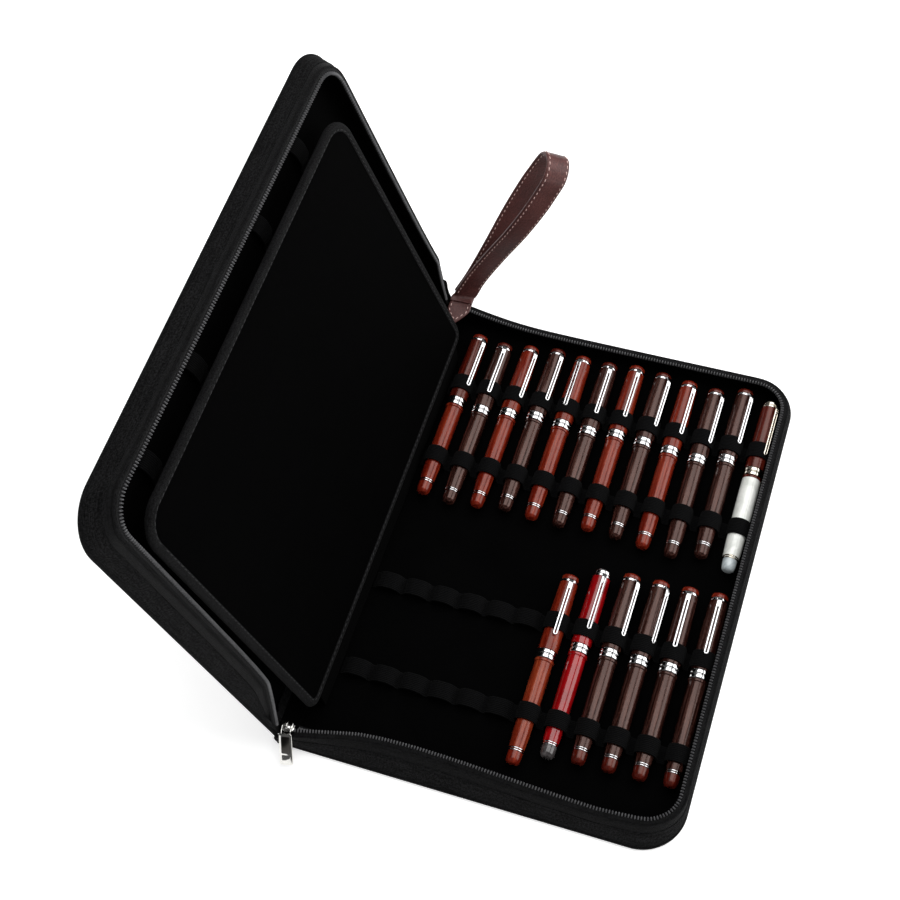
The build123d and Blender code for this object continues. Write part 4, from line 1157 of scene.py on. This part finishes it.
def pen(name, number):
    """One capped pen: turned body, cap and trim, each with its own material."""
    wide = 0.45 if number == 12 else 0.0
    tail = [(0.1, 0.0), (2.6, 0.05), (3.6, 0.45), (4.3, 1.4), (4.7, 3.0), (4.9, 5.4), (5.0, TAIL_RING)]
    barrel = [(5.3, 10.7), (5.55, 15), (5.8, 22), (6.0, 32), (6.15, 44), (6.2, 56), (6.15, 66),
              (6.05, COLLAR)]
    cap = [(1.0, BAND_END), (6.55, BAND_END + 0.1), (6.78, BAND_END + 1.0), (6.8, 94), (6.68, 106),
           (6.45, 119), (6.15, CAP_END), (1.0, CAP_END)]
    finial = [(1.0, TOP_RING), (5.7, TOP_RING), (5.95, TOP_RING + 0.5), (5.85, 135.8), (5.4, 136.9),
              (4.3, 137.6), (2.4, 137.95), (0.1, PEN_LENGTH)]
    shape = Shape()
    for profile, mark in (
            (tail, TAIL),
            (bead(5.45, TAIL_RING - 0.1, TAIL_RING + 0.9), TRIM),
            (spool(5.1, 9.3, 9.9), BARREL),
            (bead(5.5, TAIL_RING + 1.3, TAIL_RING + 2.3), TRIM),
            ([(1.0, 10.6)] + [(r + wide, y) for r, y in barrel] + [(1.0, COLLAR)], BARREL),
            (bead(6.7, COLLAR - 0.1, BAND), CAP if number == 12 else BARREL),
            (bead(7.05, BAND, BAND + 3.0), TRIM),
            (spool(6.6, BAND + 2.9, BAND + 3.5), TRIM),
            (bead(7.05, BAND + 3.4, BAND_END), TRIM),
            (cap, CAP),
            (bead(6.35, CAP_END - 0.1, TOP_RING + 0.1), TRIM),
            (finial, FINIAL)):
        add_turned(shape, profile, mark)
    add_clip(shape, PEN_CLIP_TURNS[number - 1], TRIM)
    slot = number - 1 if number <= SLOTS else number - SLOTS - 1 + EMPTY_LOWER_SLOTS
    place = Matrix.Translation((FIRST_SLOT_X + slot * PEN_PITCH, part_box(name)[0].y, PEN_AXIS_Z))
    finish = next(part["material_slot"] for part in frame["record"]["subparts"] if part["node"] == name)
    shape.build(f"{name}_body", PEN_LOOKS[number - 1], name, finish, place, 38, [name])


# ---- stage ----
ROOM_LIGHT = 0.62
ROOM_REFLECTION = 0.10
FLOOR_GLOW = 0.45
FLOOR_REACH = 12.0
FLOOR_DROP = 0.15 * MM
BOX_Y = 0.72
BOX_DISTANCE = 1.5
BOX_LENGTH = 1.7
BOX_RADIANCE = 2.3
# Soft boxes: turned from overhead towards +X, and how far each reaches to either side, in degrees.
SOFT_BOXES = {"box_over": (3, 27), "box_right": (66, 24)}


def stage():
    """Pale floor, even studio light with two long soft boxes over the pens, and the camera."""
    shape = Shape()
    steps = np.linspace(-FLOOR_REACH, FLOOR_REACH, 9)
    shape.grid([[(x, y, 0) for x in steps] for y in steps])
    floor = shape.build("floor", [pale_floor("floor_paper")], None, None)
    floor.location.z = -FLOOR_DROP
    world = bpy.data.worlds.new("studio")
    world.use_nodes = True
    tree = world.node_tree
    sky = tree.nodes["Background"]
    sky.inputs["Color"].default_value = (1.0, 1.0, 1.0, 1)
    rays = tree.nodes.new("ShaderNodeLightPath")
    dimmed = tree.nodes.new("ShaderNodeMapRange")
    dimmed.inputs["To Min"].default_value = ROOM_LIGHT
    dimmed.inputs["To Max"].default_value = ROOM_REFLECTION
    tree.links.new(rays.outputs["Is Glossy Ray"], dimmed.inputs["Value"])
    tree.links.new(dimmed.outputs["Result"], sky.inputs["Strength"])
    bpy.context.scene.world = world
    bpy.context.scene.view_settings.view_transform = "Standard"
    for name, (angle, reach) in SOFT_BOXES.items():
        add_soft_box(name, math.radians(angle), math.radians(reach))
    add_camera()


def add_soft_box(name, angle, reach):
    """Soft box parallel to the pens, turned from overhead towards +X, seen as twice its reach."""
    light = bpy.data.lights.new(name, "AREA")
    light.shape = "RECTANGLE"
    light.size = 2 * BOX_DISTANCE * math.tan(reach)
    light.size_y = BOX_LENGTH
    light.energy = BOX_RADIANCE * math.pi * light.size * light.size_y
    obj = bpy.data.objects.new(name, light)
    bpy.context.scene.collection.objects.link(obj)
    place = (BOX_DISTANCE * math.sin(angle), BOX_Y, BOX_DISTANCE * math.cos(angle))
    obj.matrix_world = Matrix.Translation(place) @ Matrix.Rotation(angle, 4, "Y")
    obj.visible_camera = False


def add_camera():
    """Camera at the solved place, rolled about its own axis."""
    azimuth, elevation, roll = (math.radians(v) for v in (CAMERA_AZIMUTH, CAMERA_ELEVATION, CAMERA_ROLL))
    back = Vector((math.sin(azimuth) * math.cos(elevation), -math.cos(azimuth) * math.cos(elevation),
                   math.sin(elevation)))
    right = Vector((math.cos(azimuth), math.sin(azimuth), 0))
    up = back.cross(right)
    image_right = right * math.cos(roll) + up * math.sin(roll)
    image_up = up * math.cos(roll) - right * math.sin(roll)
    rotation = Matrix((image_right, image_up, back)).transposed().to_4x4()
    data = bpy.data.cameras.new("view")
    data.sensor_width = 36
    data.lens = CAMERA_LENS
    data.clip_end = 20
    camera = bpy.data.objects.new("view", data)
    bpy.context.scene.collection.objects.link(camera)
    camera.matrix_world = Matrix.Translation(CAMERA_AIM + back * CAMERA_DISTANCE) @ rotation
    bpy.context.scene.camera = camera


# ---- everything ----
def dress_hidden_boards():
    """The boards inside the halves and the divider keep their CAD shape."""
    for node in ("base_stiffener_board", "cover_stiffener_board", "divider_core_board"):
        frame["nodes"][node].data.materials.clear()
        frame["nodes"][node].data.materials.append(BOARD)


def build_case():
    """Makes every piece, half by half, then the spine, divider, strap, zipper's metal and pens."""
    for name in ("base", "cover"):
        half = Half(name)
        half.panel()
        half.welts()
        half.wall()
        half.tape()
        half.teeth()
        half.lining()
        for strip in STRIPS:
            half.strip(strip)
    spine()
    divider()
    hinge_cloth()
    wrist_strap()
    strap_anchor()
    slider(slider_matrix())
    pull(slider_matrix())
    zipper_tail()
    dress_hidden_boards()
    for number, name in enumerate(PENS, start=1):
        pen(name, number)


build_case()
stage()
